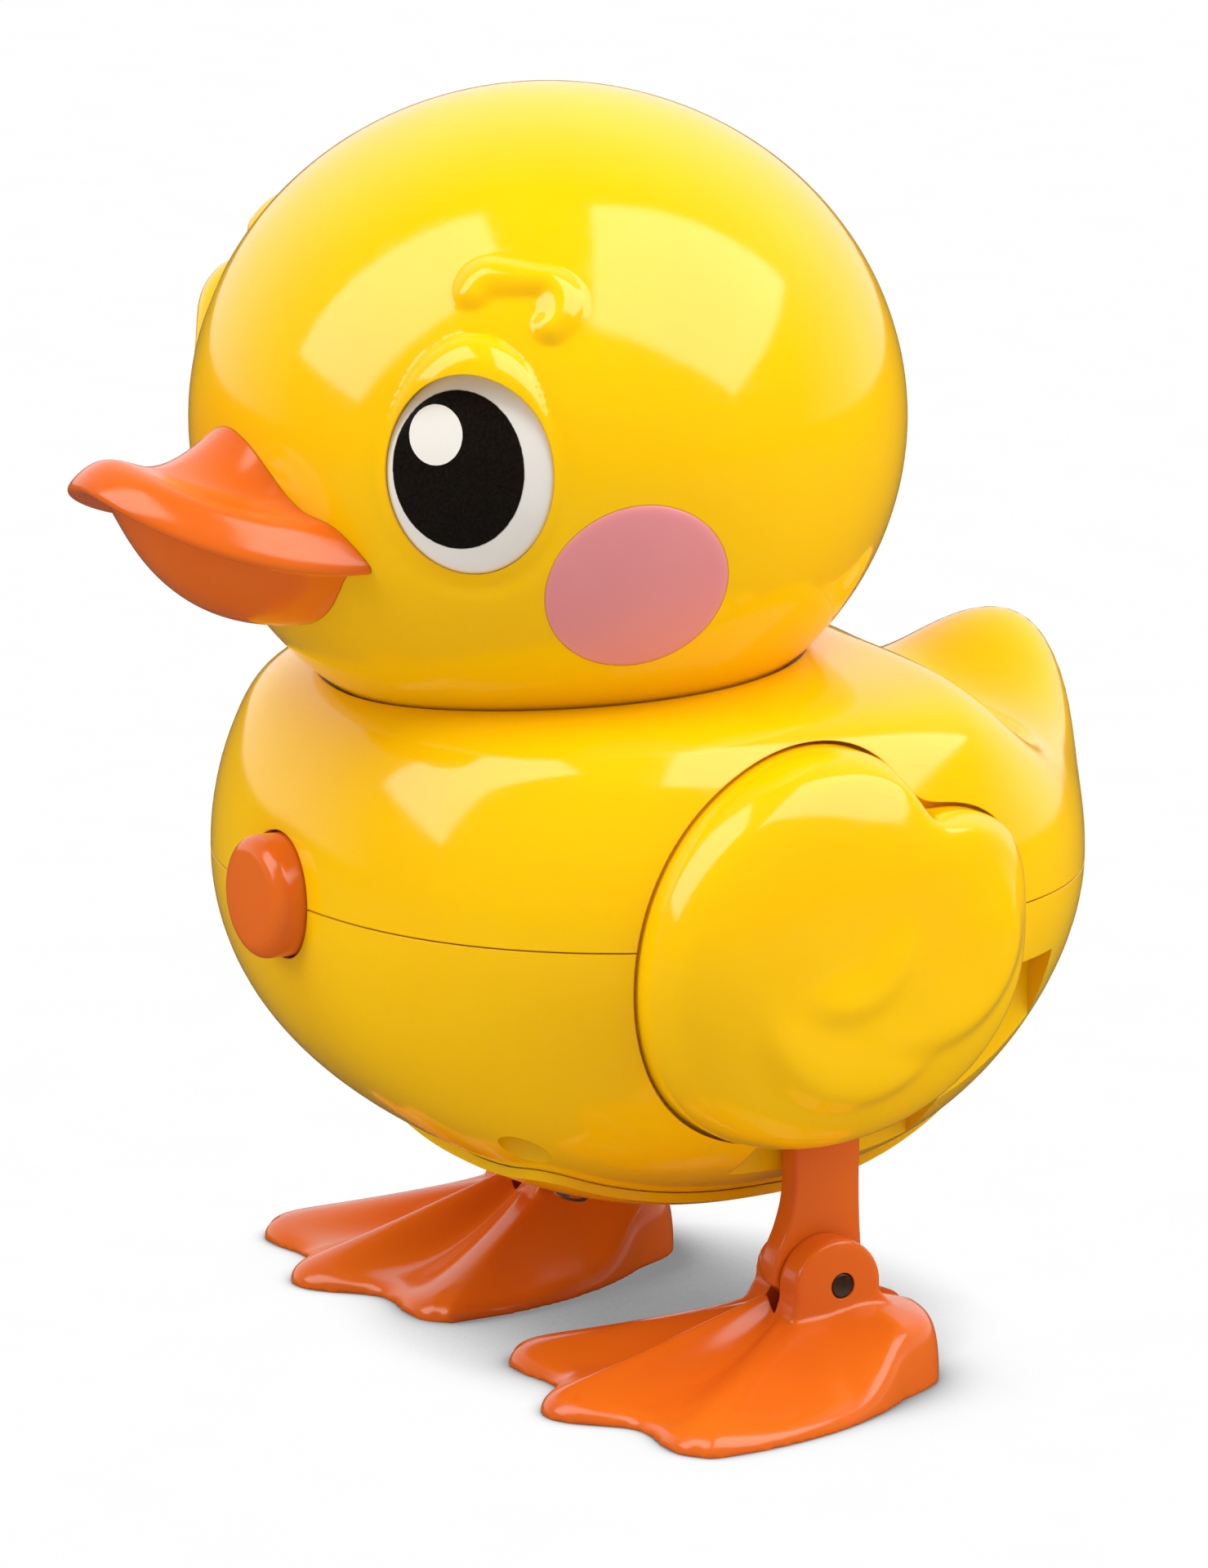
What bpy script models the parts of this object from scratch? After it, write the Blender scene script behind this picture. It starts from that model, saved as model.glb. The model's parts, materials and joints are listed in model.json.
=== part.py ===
"""Wind-up hopping duckling: two body shells, a turning head, a clockwork motor and jointed legs.

Units are metres, +Z is up, the duckling faces -Y and its left side is +X.  The origin is on the
ground, on the plane of symmetry, straight below the hip shaft and the two ankle pins.
"""

import math

import bmesh
import bpy
from mathutils import Matrix, Vector

MM = 0.001
GAP = 0.3 * MM
RUNNING = 0.08 * MM

# Body: an egg-shaped shell, split at PARTING_Z, with a broad upturned tail.
PARTING_Z = 58.0 * MM
BODY_CENTRE_Y = -3.1 * MM
BODY_HALF_WIDTH = 49.8 * MM
BODY_FRONT = 52.0 * MM
BODY_REAR = 46.9 * MM
BODY_RISE = 45.6 * MM
BODY_DROP = 41.4 * MM
PLAN_EXPONENT = 2.4
BELLY_EXPONENT = 1.9
BELLY_SHEAR = 3.1 * MM
SHOULDER_Z = 75.0 * MM
SHOULDER_ROUNDING = 10.0 * MM
TAIL_PUSH = Vector((0.0, 8.7, 4.3)) * MM
TAIL_RISE = math.radians(18.0)
TAIL_DIRECTION = Vector((0.0, math.cos(TAIL_RISE), math.sin(TAIL_RISE)))
TAIL_SPREAD = math.radians(22.0)
SADDLE_Y = 27.5 * MM
SADDLE_WIDTH = 7.0 * MM
SADDLE_DEPTH = 5.5 * MM
SADDLE_HALF_WIDTH = 18.0 * MM
TAIL_FLANK_DROP = 8.0 * MM
TAIL_RIDGE_WIDTH = 11.0 * MM
TAIL_FRONT_Y = 14.0 * MM
TAIL_FRONT_RAMP = 20.0 * MM
WALL = 2.0 * MM
BODY_GRID = (32, 20)
HEAD_GRID = (28, 16)
CORE_GRID = (20, 10)

# Head: an ellipsoid that sits in a dish in the top of the body.
HEAD_CENTRE = Vector((0.0, -18.5, 111.7)) * MM
HEAD_RADIUS = 42.2 * MM
HEAD_HEIGHT = 39.2 * MM
NECK_RADIUS = 7.2 * MM

EYE_CENTRE = Vector((31.6, -46.6, 112.7)) * MM
EYE_HALF_WIDTH = 9.9 * MM
EYE_HALF_HEIGHT = 11.9 * MM
CHEEK_CENTRE = Vector((38.6, -28.1, 98.5)) * MM
CHEEK_RADIUS = 11.0 * MM
INSERT_THICKNESS = 0.7 * MM

BILL_BASE_Y = -53.5 * MM
BILL_HALF_WIDTH = 20.9 * MM
BILL_LENGTH = 25.9 * MM

# Wing covers: a round dome with one scallop at the upper rear edge.
WING_Y = -7.2 * MM
WING_Z = 55.0 * MM
WING_RADIUS = 24.3 * MM
WING_RIM_HEIGHT = 3.0 * MM
WING_CROWN_X = 55.5 * MM

# Legs and feet: they swing together on the hip shaft.
HIP_Z = 43.0 * MM
ANKLE_Z = 12.3 * MM
LEG_X = 31.4 * MM
LEG_THICKNESS = 3.6 * MM
LEG_WIDTH = 9.4 * MM
BAY_WALL_X = 28.6 * MM
BAY_FRONT_Y = -10.5 * MM
BAY_REAR_Y = 14.0 * MM
BAY_STEP_X = 35.5 * MM
BAY_STEP_Y = 26.5 * MM
BAY_TOP_Z = 50.5 * MM
EAR_THICKNESS = 4.1 * MM
ANKLE_PIN_RADIUS = 1.5 * MM

# Clockwork: every shaft runs along X between two plates.
PLATE_X = 13.2 * MM
PLATE_THICKNESS = 1.4 * MM
MODULE = 0.8 * MM
GREAT_TEETH = 30
WHEEL_TEETH = 24
PINION_TEETH = 8
FIRST_STEP = MODULE * (GREAT_TEETH + PINION_TEETH) / 2.0
NEXT_STEP = MODULE * (WHEEL_TEETH + PINION_TEETH) / 2.0
ARBOR_A = (-3.0 * MM, 57.7 * MM)
ANGLE_AB = math.radians(190.0)
ANGLE_BC = math.radians(250.0)
ANGLE_CD = math.radians(150.0)
HIP = (0.0, HIP_Z)

BUTTON_Y = -58.8 * MM
BUTTON_Z = 58.2 * MM
BUTTON_RADIUS = 7.3 * MM
BUTTON_LIP = 1.4 * MM
BUTTON_LIP_Y = -51.2 * MM
LEVER_PIVOT = (-42.5 * MM, 53.0 * MM)

SHELL_SCREWS = ((22.0 * MM, -34.0 * MM), (19.0 * MM, 33.0 * MM))
MOTOR_SCREWS_Y = (-29.0 * MM, 0.0)
MOTOR_POST_X = 10.6 * MM
MOTOR_POST_TOP = 30.7 * MM
WING_SCREW = (-9.0 * MM, 70.0 * MM)
BELLY_SCREWS_Y = (-15.0 * MM, 20.0 * MM)
BELLY_COVER_HALF_WIDTH = 19.0 * MM
BELLY_COVER_Y = (-30.0 * MM, 28.0 * MM)
BELLY_COVER_OUTSIDE = 1.3 * MM
BRAKE_RADIUS = 6.0 * MM
PLATE_OUTLINE = ((-47, 48), (-47, 57), (-38, 65), (2, 65), (8, 60), (8, 33), (4, 31), (-32, 31), (-43, 40))
PILLARS = ((-37.0 * MM, 59.5 * MM), (4.5 * MM, 36.0 * MM), (-35.0 * MM, 37.0 * MM))

# The whole toy is moved so that the origin is the middle of its box, on the ground.
ORIGIN_SHIFT = Vector((4.0, 14.5, 0.0)) * MM

YELLOW = (1.0, 0.58, 0.01)
ORANGE = (0.82, 0.12, 0.02)
PINK = (0.66, 0.22, 0.26)
WHITE = (0.83, 0.80, 0.74)
STEEL = (0.55, 0.56, 0.58)
BRASS = (0.72, 0.52, 0.20)
DARK_STEEL = (0.10, 0.08, 0.07)


# ---------------------------------------------------------------------------------- scene helpers

def clear_scene():
    for obj in list(bpy.data.objects):
        bpy.data.objects.remove(obj, do_unlink=True)


def new_collection(name):
    collection = bpy.data.collections.new(name)
    bpy.context.scene.collection.children.link(collection)
    return collection


clear_scene()
PARTS = new_collection("hopping_duckling")
CUTTERS = new_collection("cutters")
AXES = new_collection("joint_axes")


def principled(name, colour, roughness, metallic=0.0):
    material = bpy.data.materials.new(name)
    material.use_nodes = True
    shader = material.node_tree.nodes["Principled BSDF"]
    shader.inputs["Base Color"].default_value = (*colour, 1.0)
    shader.inputs["Roughness"].default_value = roughness
    shader.inputs["Metallic"].default_value = metallic
    return material


PLASTIC = {
    "yellow": (YELLOW, 0.16, 0.0),
    "orange": (ORANGE, 0.2, 0.0),
    "pink": (PINK, 0.45, 0.0),
    "white": (WHITE, 0.3, 0.0),
    "steel": (STEEL, 0.3, 1.0),
    "brass": (BRASS, 0.3, 1.0),
    "dark_steel": (DARK_STEEL, 0.7, 1.0),
}


def finish_mesh(bm, name):
    bmesh.ops.recalc_face_normals(bm, faces=bm.faces)
    mesh = bpy.data.meshes.new(name)
    bm.to_mesh(mesh)
    bm.free()
    return mesh


def add_part(name, mesh, finish):
    obj = bpy.data.objects.new(name, mesh)
    colour, roughness, metallic = PLASTIC[finish]
    mesh.materials.clear()
    mesh.materials.append(principled(name + "_material", colour, roughness, metallic))
    mesh.shade_smooth()
    mesh.set_sharp_from_angle(angle=math.radians(35.0))
    PARTS.objects.link(obj)
    return obj


def add_cutter(name, mesh):
    obj = bpy.data.objects.new("cut_" + name, mesh)
    obj.hide_render = True
    obj.display_type = "WIRE"
    CUTTERS.objects.link(obj)
    return obj


def boolean(obj, other, operation="DIFFERENCE"):
    modifier = obj.modifiers.new(operation.lower(), "BOOLEAN")
    modifier.operation = operation
    modifier.solver = "EXACT"
    modifier.object = other
    return obj


def cut(obj, *others):
    for other in others:
        boolean(obj, other, "DIFFERENCE")
    return obj


def join(obj, *others):
    for other in others:
        boolean(obj, other, "UNION")
    return obj


def axis_empty(name, location):
    empty = bpy.data.objects.new(name, None)
    empty.location = location
    empty.empty_display_size = 5.0 * MM
    AXES.objects.link(empty)
    return empty


def hang(empty, *objects):
    """Parent pieces to a joint's empty and leave them where they are."""
    for obj in objects:
        obj.parent = empty
        obj.location = obj.location - empty.location


# ---------------------------------------------------------------------------------- basic solids

def box_mesh(name, low, high):
    bm = bmesh.new()
    bmesh.ops.create_cube(bm, size=1.0)
    low, high = Vector(low), Vector(high)
    for vertex in bm.verts:
        vertex.co = Vector((low[i] + (high[i] - low[i]) * (vertex.co[i] + 0.5) for i in range(3)))
    return finish_mesh(bm, name)


def aligned(axis):
    """Rotation that turns +Z onto the axis."""
    return Vector((0.0, 0.0, 1.0)).rotation_difference(Vector(axis)).to_matrix().to_4x4()


def rod_mesh(name, radius, start, end, segments=16, end_radius=None):
    start, end = Vector(start), Vector(end)
    bm = bmesh.new()
    bmesh.ops.create_cone(
        bm, cap_ends=True, segments=segments, radius1=radius,
        radius2=radius if end_radius is None else end_radius, depth=(end - start).length)
    place = Matrix.Translation((start + end) / 2.0) @ aligned(end - start)
    bmesh.ops.transform(bm, matrix=place, verts=bm.verts)
    return finish_mesh(bm, name)


def x_rod_mesh(name, radius, x0, x1, shaft, segments=16):
    """A rod along X, centred on a shaft given as (y, z)."""
    return rod_mesh(name, radius, (x0, shaft[0], shaft[1]), (x1, shaft[0], shaft[1]), segments)


def turned_part(name, profile, origin, axis, finish, segments=20):
    """Solid of revolution: the profile holds (radius, height) pairs from top to bottom."""
    mesh = bpy.data.meshes.new(name)
    points = [(radius, 0.0, height) for radius, height in profile]
    edges = [(i, i + 1) for i in range(len(points) - 1)]
    if profile[0] == profile[-1]:
        points.pop()
        edges[-1] = (len(points) - 1, 0)
    mesh.from_pydata(points, edges, [])
    obj = add_part(name, mesh, finish)
    screw = obj.modifiers.new("turned", "SCREW")
    screw.steps = segments
    screw.render_steps = segments
    screw.use_merge_vertices = True
    screw.merge_threshold = 0.01 * MM
    obj.location = origin
    obj.rotation_euler = aligned(axis).to_euler()
    return obj


def screw_part(name, head, direction, length, finish="steel", head_radius=2.6 * MM, radius=1.15 * MM):
    """Pan-head screw whose head's underside is at the point `head`."""
    thick = 1.5 * MM
    profile = [(0.0, thick), (head_radius * 0.7, thick), (head_radius, thick * 0.5),
               (head_radius, 0.0), (radius, 0.0), (radius, -length), (0.0, -length)]
    back = -Vector(direction)
    return turned_part(name, profile, head, back, finish, segments=8)


def extruded_mesh(name, outline, x0, x1):
    """Plate between x0 and x1 whose outline is a list of (y, z) points."""
    curve = bpy.data.curves.new(name, "CURVE")
    curve.dimensions = "2D"
    curve.fill_mode = "BOTH"
    curve.extrude = (x1 - x0) / 2.0
    spline = curve.splines.new("POLY")
    spline.points.add(len(outline) - 1)
    for point, (y, z) in zip(spline.points, outline):
        point.co = (y, z, 0.0, 1.0)
    spline.use_cyclic_u = True
    obj = bpy.data.objects.new(name, curve)
    CUTTERS.objects.link(obj)
    bpy.context.view_layer.update()
    evaluated = obj.evaluated_get(bpy.context.evaluated_depsgraph_get())
    mesh = bpy.data.meshes.new_from_object(evaluated)
    bpy.data.objects.remove(obj, do_unlink=True)
    bpy.data.curves.remove(curve)
    bm = bmesh.new()
    bm.from_mesh(mesh)
    bmesh.ops.remove_doubles(bm, verts=bm.verts, dist=0.001 * MM)
    middle = (x0 + x1) / 2.0
    for vertex in bm.verts:
        y, z, depth = vertex.co
        vertex.co = Vector((middle + depth, y, z))
    return finish_mesh(bm, name)


def arc(centre, radius, start, end, count):
    """Points (y, z) on an arc, angles in degrees."""
    points = []
    for i in range(count + 1):
        angle = math.radians(start + (end - start) * i / count)
        points.append((centre[0] + radius * math.cos(angle), centre[1] + radius * math.sin(angle)))
    return points


def coil_part(name, radius, wire, turns, x0, x1, centre, finish="steel", start_radius=None):
    """Round-wire coil about an X axis; a start_radius makes it a flat spiral."""
    steps_per_turn = 8
    count = int(turns * steps_per_turn)
    curve = bpy.data.curves.new(name, "CURVE")
    curve.dimensions = "3D"
    curve.bevel_depth = wire
    curve.bevel_resolution = 0
    curve.use_fill_caps = True
    spline = curve.splines.new("POLY")
    spline.points.add(count)
    for i, point in enumerate(spline.points):
        share = i / count
        angle = 2.0 * math.pi * turns * share
        reach = radius if start_radius is None else start_radius + (radius - start_radius) * share
        y = centre[0] + reach * math.cos(angle)
        z = centre[1] + reach * math.sin(angle)
        point.co = (x0 + (x1 - x0) * share, y, z, 1.0)
    obj = bpy.data.objects.new(name, curve)
    colour, roughness, metallic = PLASTIC[finish]
    curve.materials.append(principled(name + "_material", colour, roughness, metallic))
    PARTS.objects.link(obj)
    weld = obj.modifiers.new("weld_caps", "WELD")
    weld.merge_threshold = 0.001 * MM
    return obj


def mirrored_mesh(mesh, name):
    """Copy of a mesh on the duckling's other side."""
    bm = bmesh.new()
    bm.from_mesh(mesh)
    for vertex in bm.verts:
        vertex.co.x = -vertex.co.x
    bmesh.ops.reverse_faces(bm, faces=bm.faces)
    return finish_mesh(bm, name)


# ---------------------------------------------------------------------------------- body surface

def ease(value):
    value = min(max(value, 0.0), 1.0)
    return value * value * (3.0 - 2.0 * value)


def body_point(direction, grow=0.0):
    """Point of the body's outer surface, `grow` outside it, in a direction from the body's centre."""
    x, y, z = direction
    length = (BODY_FRONT if y < 0.0 else BODY_REAR) + grow
    across = (abs(x / (BODY_HALF_WIDTH + grow)) ** PLAN_EXPONENT
              + abs(y / length) ** PLAN_EXPONENT) ** (1.0 / PLAN_EXPONENT)
    height = (BODY_DROP if z < 0.0 else BODY_RISE) + grow
    power = BELLY_EXPONENT - 0.1 * y if z < 0.0 else 2.0
    reach = (across ** power + abs(z / height) ** power) ** (-1.0 / power)
    point = Vector((x * reach, y * reach + BODY_CENTRE_Y, z * reach + PARTING_Z))
    knee = SHOULDER_Z + grow
    if point.z > knee:
        point.z = knee + SHOULDER_ROUNDING * (1.0 - math.exp((knee - point.z) / SHOULDER_ROUNDING))
    tail = math.exp(-(direction.angle(TAIL_DIRECTION) / TAIL_SPREAD) ** 2)
    saddle = math.exp(-((point.y - SADDLE_Y) / SADDLE_WIDTH) ** 2) * ease((z - 0.15) / 0.25)
    flank = 1.0 - math.exp(-(point.x / TAIL_RIDGE_WIDTH) ** 2)
    flank *= ease((point.y - TAIL_FRONT_Y) / TAIL_FRONT_RAMP) * ease(z / 0.6)
    saddle *= math.exp(-(point.x / SADDLE_HALF_WIDTH) ** 2)
    point.y += TAIL_PUSH.y * tail
    point.z += TAIL_PUSH.z * tail * ease(z / 0.2) - SADDLE_DEPTH * saddle - TAIL_FLANK_DROP * flank
    point.y += BELLY_SHEAR * ease(-z) ** 2
    return point


def wing_reach(angle):
    """Radius of the wing's outline at an angle (degrees) in the (y, z) plane."""
    bump = 1.9 * MM * math.exp(-((angle - 26.0) / 14.0) ** 2)
    scallop = 3.8 * MM * math.exp(-((angle - 57.0) / 14.0) ** 2)
    return WING_RADIUS + bump - scallop


def body_side_x(y, z):
    """Half-width of the body at a height and a length, without the tail."""
    height = BODY_DROP if z < PARTING_Z else BODY_RISE
    power = BELLY_EXPONENT if z < PARTING_Z else 2.0
    length = BODY_FRONT if y < BODY_CENTRE_Y else BODY_REAR
    across = (1.0 - abs((z - PARTING_Z) / height) ** power) ** (PLAN_EXPONENT / power)
    across -= abs((y - BODY_CENTRE_Y) / length) ** PLAN_EXPONENT
    return BODY_HALF_WIDTH * max(across, 0.0) ** (1.0 / PLAN_EXPONENT)


def body_mesh(name, grow, segments, rings, half=0, lift=0.0):
    """The body's form; half=1 keeps the upper half, -1 the lower half, 0 all of it."""
    bm = bmesh.new()
    bmesh.ops.create_uvsphere(bm, u_segments=segments, v_segments=rings, radius=1.0)
    if half:
        doomed = [v for v in bm.verts if v.co.z * half < -1e-4]
        bmesh.ops.delete(bm, geom=doomed, context="VERTS")
        cap = bmesh.ops.holes_fill(bm, edges=[e for e in bm.edges if e.is_boundary])
        bmesh.ops.poke(bm, faces=cap["faces"])
    for vertex in bm.verts:
        if vertex.co.length < 0.5:
            vertex.co = Vector((0.0, BODY_CENTRE_Y, PARTING_Z + lift))
            continue
        direction = vertex.co.normalized()
        if abs(direction.z) < 1e-4:
            direction.z = 0.0
        vertex.co = body_point(direction, grow)
        vertex.co.z += lift
    return finish_mesh(bm, name)


def ellipsoid_mesh(name, centre, radii, segments, rings):
    bm = bmesh.new()
    bmesh.ops.create_uvsphere(bm, u_segments=segments, v_segments=rings, radius=1.0)
    for vertex in bm.verts:
        vertex.co = Vector((centre[i] + radii[i] * vertex.co[i] for i in range(3)))
    return finish_mesh(bm, name)


def head_mesh(name, grow, segments, rings):
    radii = (HEAD_RADIUS + grow, HEAD_RADIUS + grow, HEAD_HEIGHT + grow)
    return ellipsoid_mesh(name, HEAD_CENTRE, radii, segments, rings)


def bay_mesh(name, spare):
    """Left leg bay with a shallow step behind it, `spare` larger on every side that has a wall."""
    front = BAY_FRONT_Y - spare
    rear = BAY_REAR_Y + spare
    step_rear = BAY_STEP_Y + spare
    inside = BAY_WALL_X - spare
    step = BAY_STEP_X - spare
    outside = 70.0 * MM
    plan = [(inside, front), (outside, front), (outside, step_rear), (step, step_rear), (step, rear), (inside, rear)]
    bm = bmesh.new()
    low = [bm.verts.new((x, y, 0.0)) for x, y in plan]
    high = [bm.verts.new((x, y, BAY_TOP_Z + spare)) for x, y in plan]
    bm.faces.new(low)
    bm.faces.new(high)
    for k in range(len(plan)):
        bm.faces.new((low[k - 1], low[k], high[k], high[k - 1]))
    return finish_mesh(bm, name)


def bay_cutters(name, spare):
    left = bay_mesh(name + "_left", spare)
    right = mirrored_mesh(left, name + "_right")
    return add_cutter(name + "_left", left), add_cutter(name + "_right", right)


def screw_places():
    for x, y in SHELL_SCREWS:
        yield x, y
        yield -x, y


def shared_holes():
    """Openings that pass through both body shells or across their parting line."""
    side = 60.0 * MM
    yield add_cutter("button_hole", rod_mesh(
        "button_hole", BUTTON_RADIUS + 0.4 * MM,
        (0.0, -70.0 * MM, BUTTON_Z), (0.0, -47.0 * MM, BUTTON_Z), 28))
    yield add_cutter("stem_hole", rod_mesh(
        "stem_hole", 2.8 * MM, (0.0, -50.0 * MM, BUTTON_Z), (0.0, -38.0 * MM, BUTTON_Z), 16))
    lip_radius = BUTTON_RADIUS + BUTTON_LIP + GAP
    lip_end = (0.0, -47.7 * MM, BUTTON_Z)
    yield add_cutter("lip_recess", rod_mesh(
        "lip_recess", lip_radius, (0.0, BUTTON_LIP_Y - GAP, BUTTON_Z), lip_end, 28))
    yield add_cutter("arbor_hole", x_rod_mesh("arbor_hole", 2.6 * MM, -side, -30.0 * MM, ARBOR_A))


def guide_rib(name, z0, z1):
    """Half of the wall that guides the button's stem."""
    low = (-6.0 * MM, -47.4 * MM, z0)
    return add_cutter(name, box_mesh(name, low, (6.0 * MM, -46.0 * MM, z1)))


def belly_z(y):
    """Height of the belly's surface on the plane of symmetry."""
    low, high = 0.0, math.pi
    for _ in range(40):
        middle = (low + high) / 2.0
        point = body_point(Vector((0.0, -math.cos(middle), -math.sin(middle))))
        if point.y < y:
            low = middle
        else:
            high = middle
    return point.z


def belly_seat(y):
    """The belly's surface point on the plane of symmetry at y, and the way out of the toy there."""
    slope = (belly_z(y + MM) - belly_z(y - MM)) / (2.0 * MM)
    return Vector((0.0, y, belly_z(y))), Vector((0.0, slope, -1.0)).normalized()


def belly_hole(y):
    point, outward = belly_seat(y)
    return rod_mesh("belly_hole", 1.5 * MM, point + outward * 5.0 * MM, point - outward * 9.0 * MM, 8)


def build_lower_shell(holes):
    outside = body_mesh("lower_body_shell", 0.0, *BODY_GRID, -1, -GAP / 2)
    shell = add_part("lower_body_shell", outside, "yellow")
    core = add_cutter("lower_core", body_mesh("lower_core", -WALL, *CORE_GRID, lift=1.0 * MM))
    cut(core, *bay_cutters("bay_wall", 1.6 * MM))
    for i, (x, y) in enumerate(screw_places()):
        boss = rod_mesh("boss", 4.4 * MM, (x, y, 0.0), (x, y, PARTING_Z + 5.0 * MM), 10)
        cut(core, add_cutter(f"lower_boss_{i}", boss))
    for i, (x, y) in enumerate(motor_screw_places()):
        post = rod_mesh("post", 3.0 * MM, (x, y, 0.0), (x, y, MOTOR_POST_TOP), 8)
        cut(core, add_cutter(f"motor_post_{i}", post))
    cut(core, guide_rib("lower_rib", 20.0 * MM, PARTING_Z + 5.0 * MM))
    cut(shell, *bay_cutters("bay", 0.0), core)
    cut(shell, *holes)
    cut(shell, add_cutter("hip_hole", x_rod_mesh("hip_hole", 2.1 * MM, -40.0 * MM, 40.0 * MM, HIP)))
    for i, (x, y) in enumerate(screw_places()):
        way = rod_mesh("way", 3.1 * MM, (x, y, 0.0), (x, y, 49.0 * MM), 10)
        hole = rod_mesh("hole", 1.5 * MM, (x, y, 40.0 * MM), (x, y, 70.0 * MM), 8)
        cut(shell, add_cutter(f"screw_way_{i}", way))
        cut(shell, add_cutter(f"screw_hole_{i}", hole))
    for i, (x, y) in enumerate(motor_screw_places()):
        pilot = rod_mesh("pilot", 1.25 * MM, (x, y, MOTOR_POST_TOP - 6.5 * MM), (x, y, 40.0 * MM), 8)
        cut(shell, add_cutter(f"motor_pilot_{i}", pilot))
    for i, y in enumerate(BELLY_SCREWS_Y):
        cut(shell, add_cutter(f"belly_hole_{i}", belly_hole(y)))
    return shell


def build_upper_shell(holes):
    outside = body_mesh("upper_body_shell", 0.0, *BODY_GRID, 1, GAP / 2)
    shell = add_part("upper_body_shell", outside, "yellow")
    core = add_cutter("upper_core", body_mesh("upper_core", -WALL, *CORE_GRID, lift=-1.0 * MM))
    cut(core, add_cutter("dish_wall", head_mesh("dish_wall", WALL + 0.6 * MM, *CORE_GRID)))
    for i, (x, y) in enumerate(screw_places()):
        boss = rod_mesh("boss", 3.6 * MM, (x, y, PARTING_Z - 5.0 * MM), (x, y, 100.0 * MM), 8)
        cut(core, add_cutter(f"upper_boss_{i}", boss))
    cut(core, guide_rib("upper_rib", PARTING_Z - 5.0 * MM, 90.0 * MM))
    cut(shell, core, add_cutter("dish", head_mesh("dish", 0.6 * MM, *HEAD_GRID)))
    cut(shell, *holes)
    for i, (x, y) in enumerate(screw_places()):
        pilot = rod_mesh("pilot", 1.25 * MM, (x, y, 40.0 * MM), (x, y, 69.0 * MM), 8)
        cut(shell, add_cutter(f"shell_pilot_{i}", pilot))
    neck_low, neck_high = (0, HEAD_CENTRE.y, 60 * MM), (0, HEAD_CENTRE.y, 90 * MM)
    neck = rod_mesh("neck_hole", NECK_RADIUS + GAP, neck_low, neck_high, 24)
    cut(shell, add_cutter("neck_hole", neck))
    for side in (1.0, -1.0):
        hole = x_rod_mesh("wing_hole", 1.5 * MM, side * 30 * MM, side * 60 * MM, WING_SCREW, 12)
        cut(shell, add_cutter(f"wing_hole_{side:+.0f}", hole))
    return shell


# ---------------------------------------------------------------------------------- belly cover

def build_belly_cover():
    outside = body_mesh("belly_cover", BELLY_COVER_OUTSIDE, *BODY_GRID, -1)
    cover = add_part("belly_cover", outside, "yellow")
    window = box_mesh("belly_window", (-BELLY_COVER_HALF_WIDTH, BELLY_COVER_Y[0], 0.0),
                      (BELLY_COVER_HALF_WIDTH, BELLY_COVER_Y[1], 45.0 * MM))
    boolean(cover, add_cutter("belly_window", window), "INTERSECT")
    cut(cover, add_cutter("belly_inside", body_mesh("belly_inside", GAP, *BODY_GRID)))
    screws = []
    for i, y in enumerate(BELLY_SCREWS_Y):
        cut(cover, add_cutter(f"cover_hole_{i}", belly_hole(y)))
        point, outward = belly_seat(y)
        head = point + outward * (BELLY_COVER_OUTSIDE + 0.1 * MM)
        screws.append(screw_part(f"belly_screw_{i + 1}", head, -outward, 6.0 * MM, "steel", 2.2 * MM))
    return cover, screws


# ---------------------------------------------------------------------------------- head

def build_head_shell():
    shell = add_part("head_shell", head_mesh("head_shell", 0.0, *HEAD_GRID), "yellow")
    cut(shell, add_cutter("head_core", head_mesh("head_core", -WALL, *CORE_GRID)))
    low = (0.0, HEAD_CENTRE.y, 65.0 * MM)
    hole = rod_mesh("head_hole", NECK_RADIUS + 0.3 * MM, low, (0.0, HEAD_CENTRE.y, 82.0 * MM), 24)
    cut(shell, add_cutter("head_hole", hole))
    return shell


def insert_part(name, centre, half_width, half_height, side, finish):
    """Thin oval plate laid on the head; side is +1 for the left and -1 for the right."""
    middle = Vector((side * centre.x, centre.y, centre.z))
    normal = middle - HEAD_CENTRE
    normal.z *= (HEAD_RADIUS / HEAD_HEIGHT) ** 2
    normal.normalize()
    bm = bmesh.new()
    bmesh.ops.create_cone(bm, cap_ends=True, segments=28, radius1=1.0, radius2=1.0, depth=20.0 * MM)
    across = Vector((0.0, 0.0, 1.0)).cross(normal).normalized()
    upward = normal.cross(across)
    for vertex in bm.verts:
        x, y, z = vertex.co
        vertex.co = middle + across * (x * half_width) + upward * (y * half_height) + normal * z
    plate = add_part(name, finish_mesh(bm, name), finish)
    outer = bpy.data.objects.get("cut_insert_outer")
    inner = bpy.data.objects.get("cut_insert_inner")
    boolean(plate, outer, "INTERSECT")
    cut(plate, inner)
    return plate


def bill_crown(reach):
    """Height of the bill's top along its middle, from the head (0) to the tip (1)."""
    lip = 2.4 * MM * math.exp(-((reach - 0.86) / 0.13) ** 2)
    return 116.5 * MM - 9.4 * MM * reach ** 0.75 + lip


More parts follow.
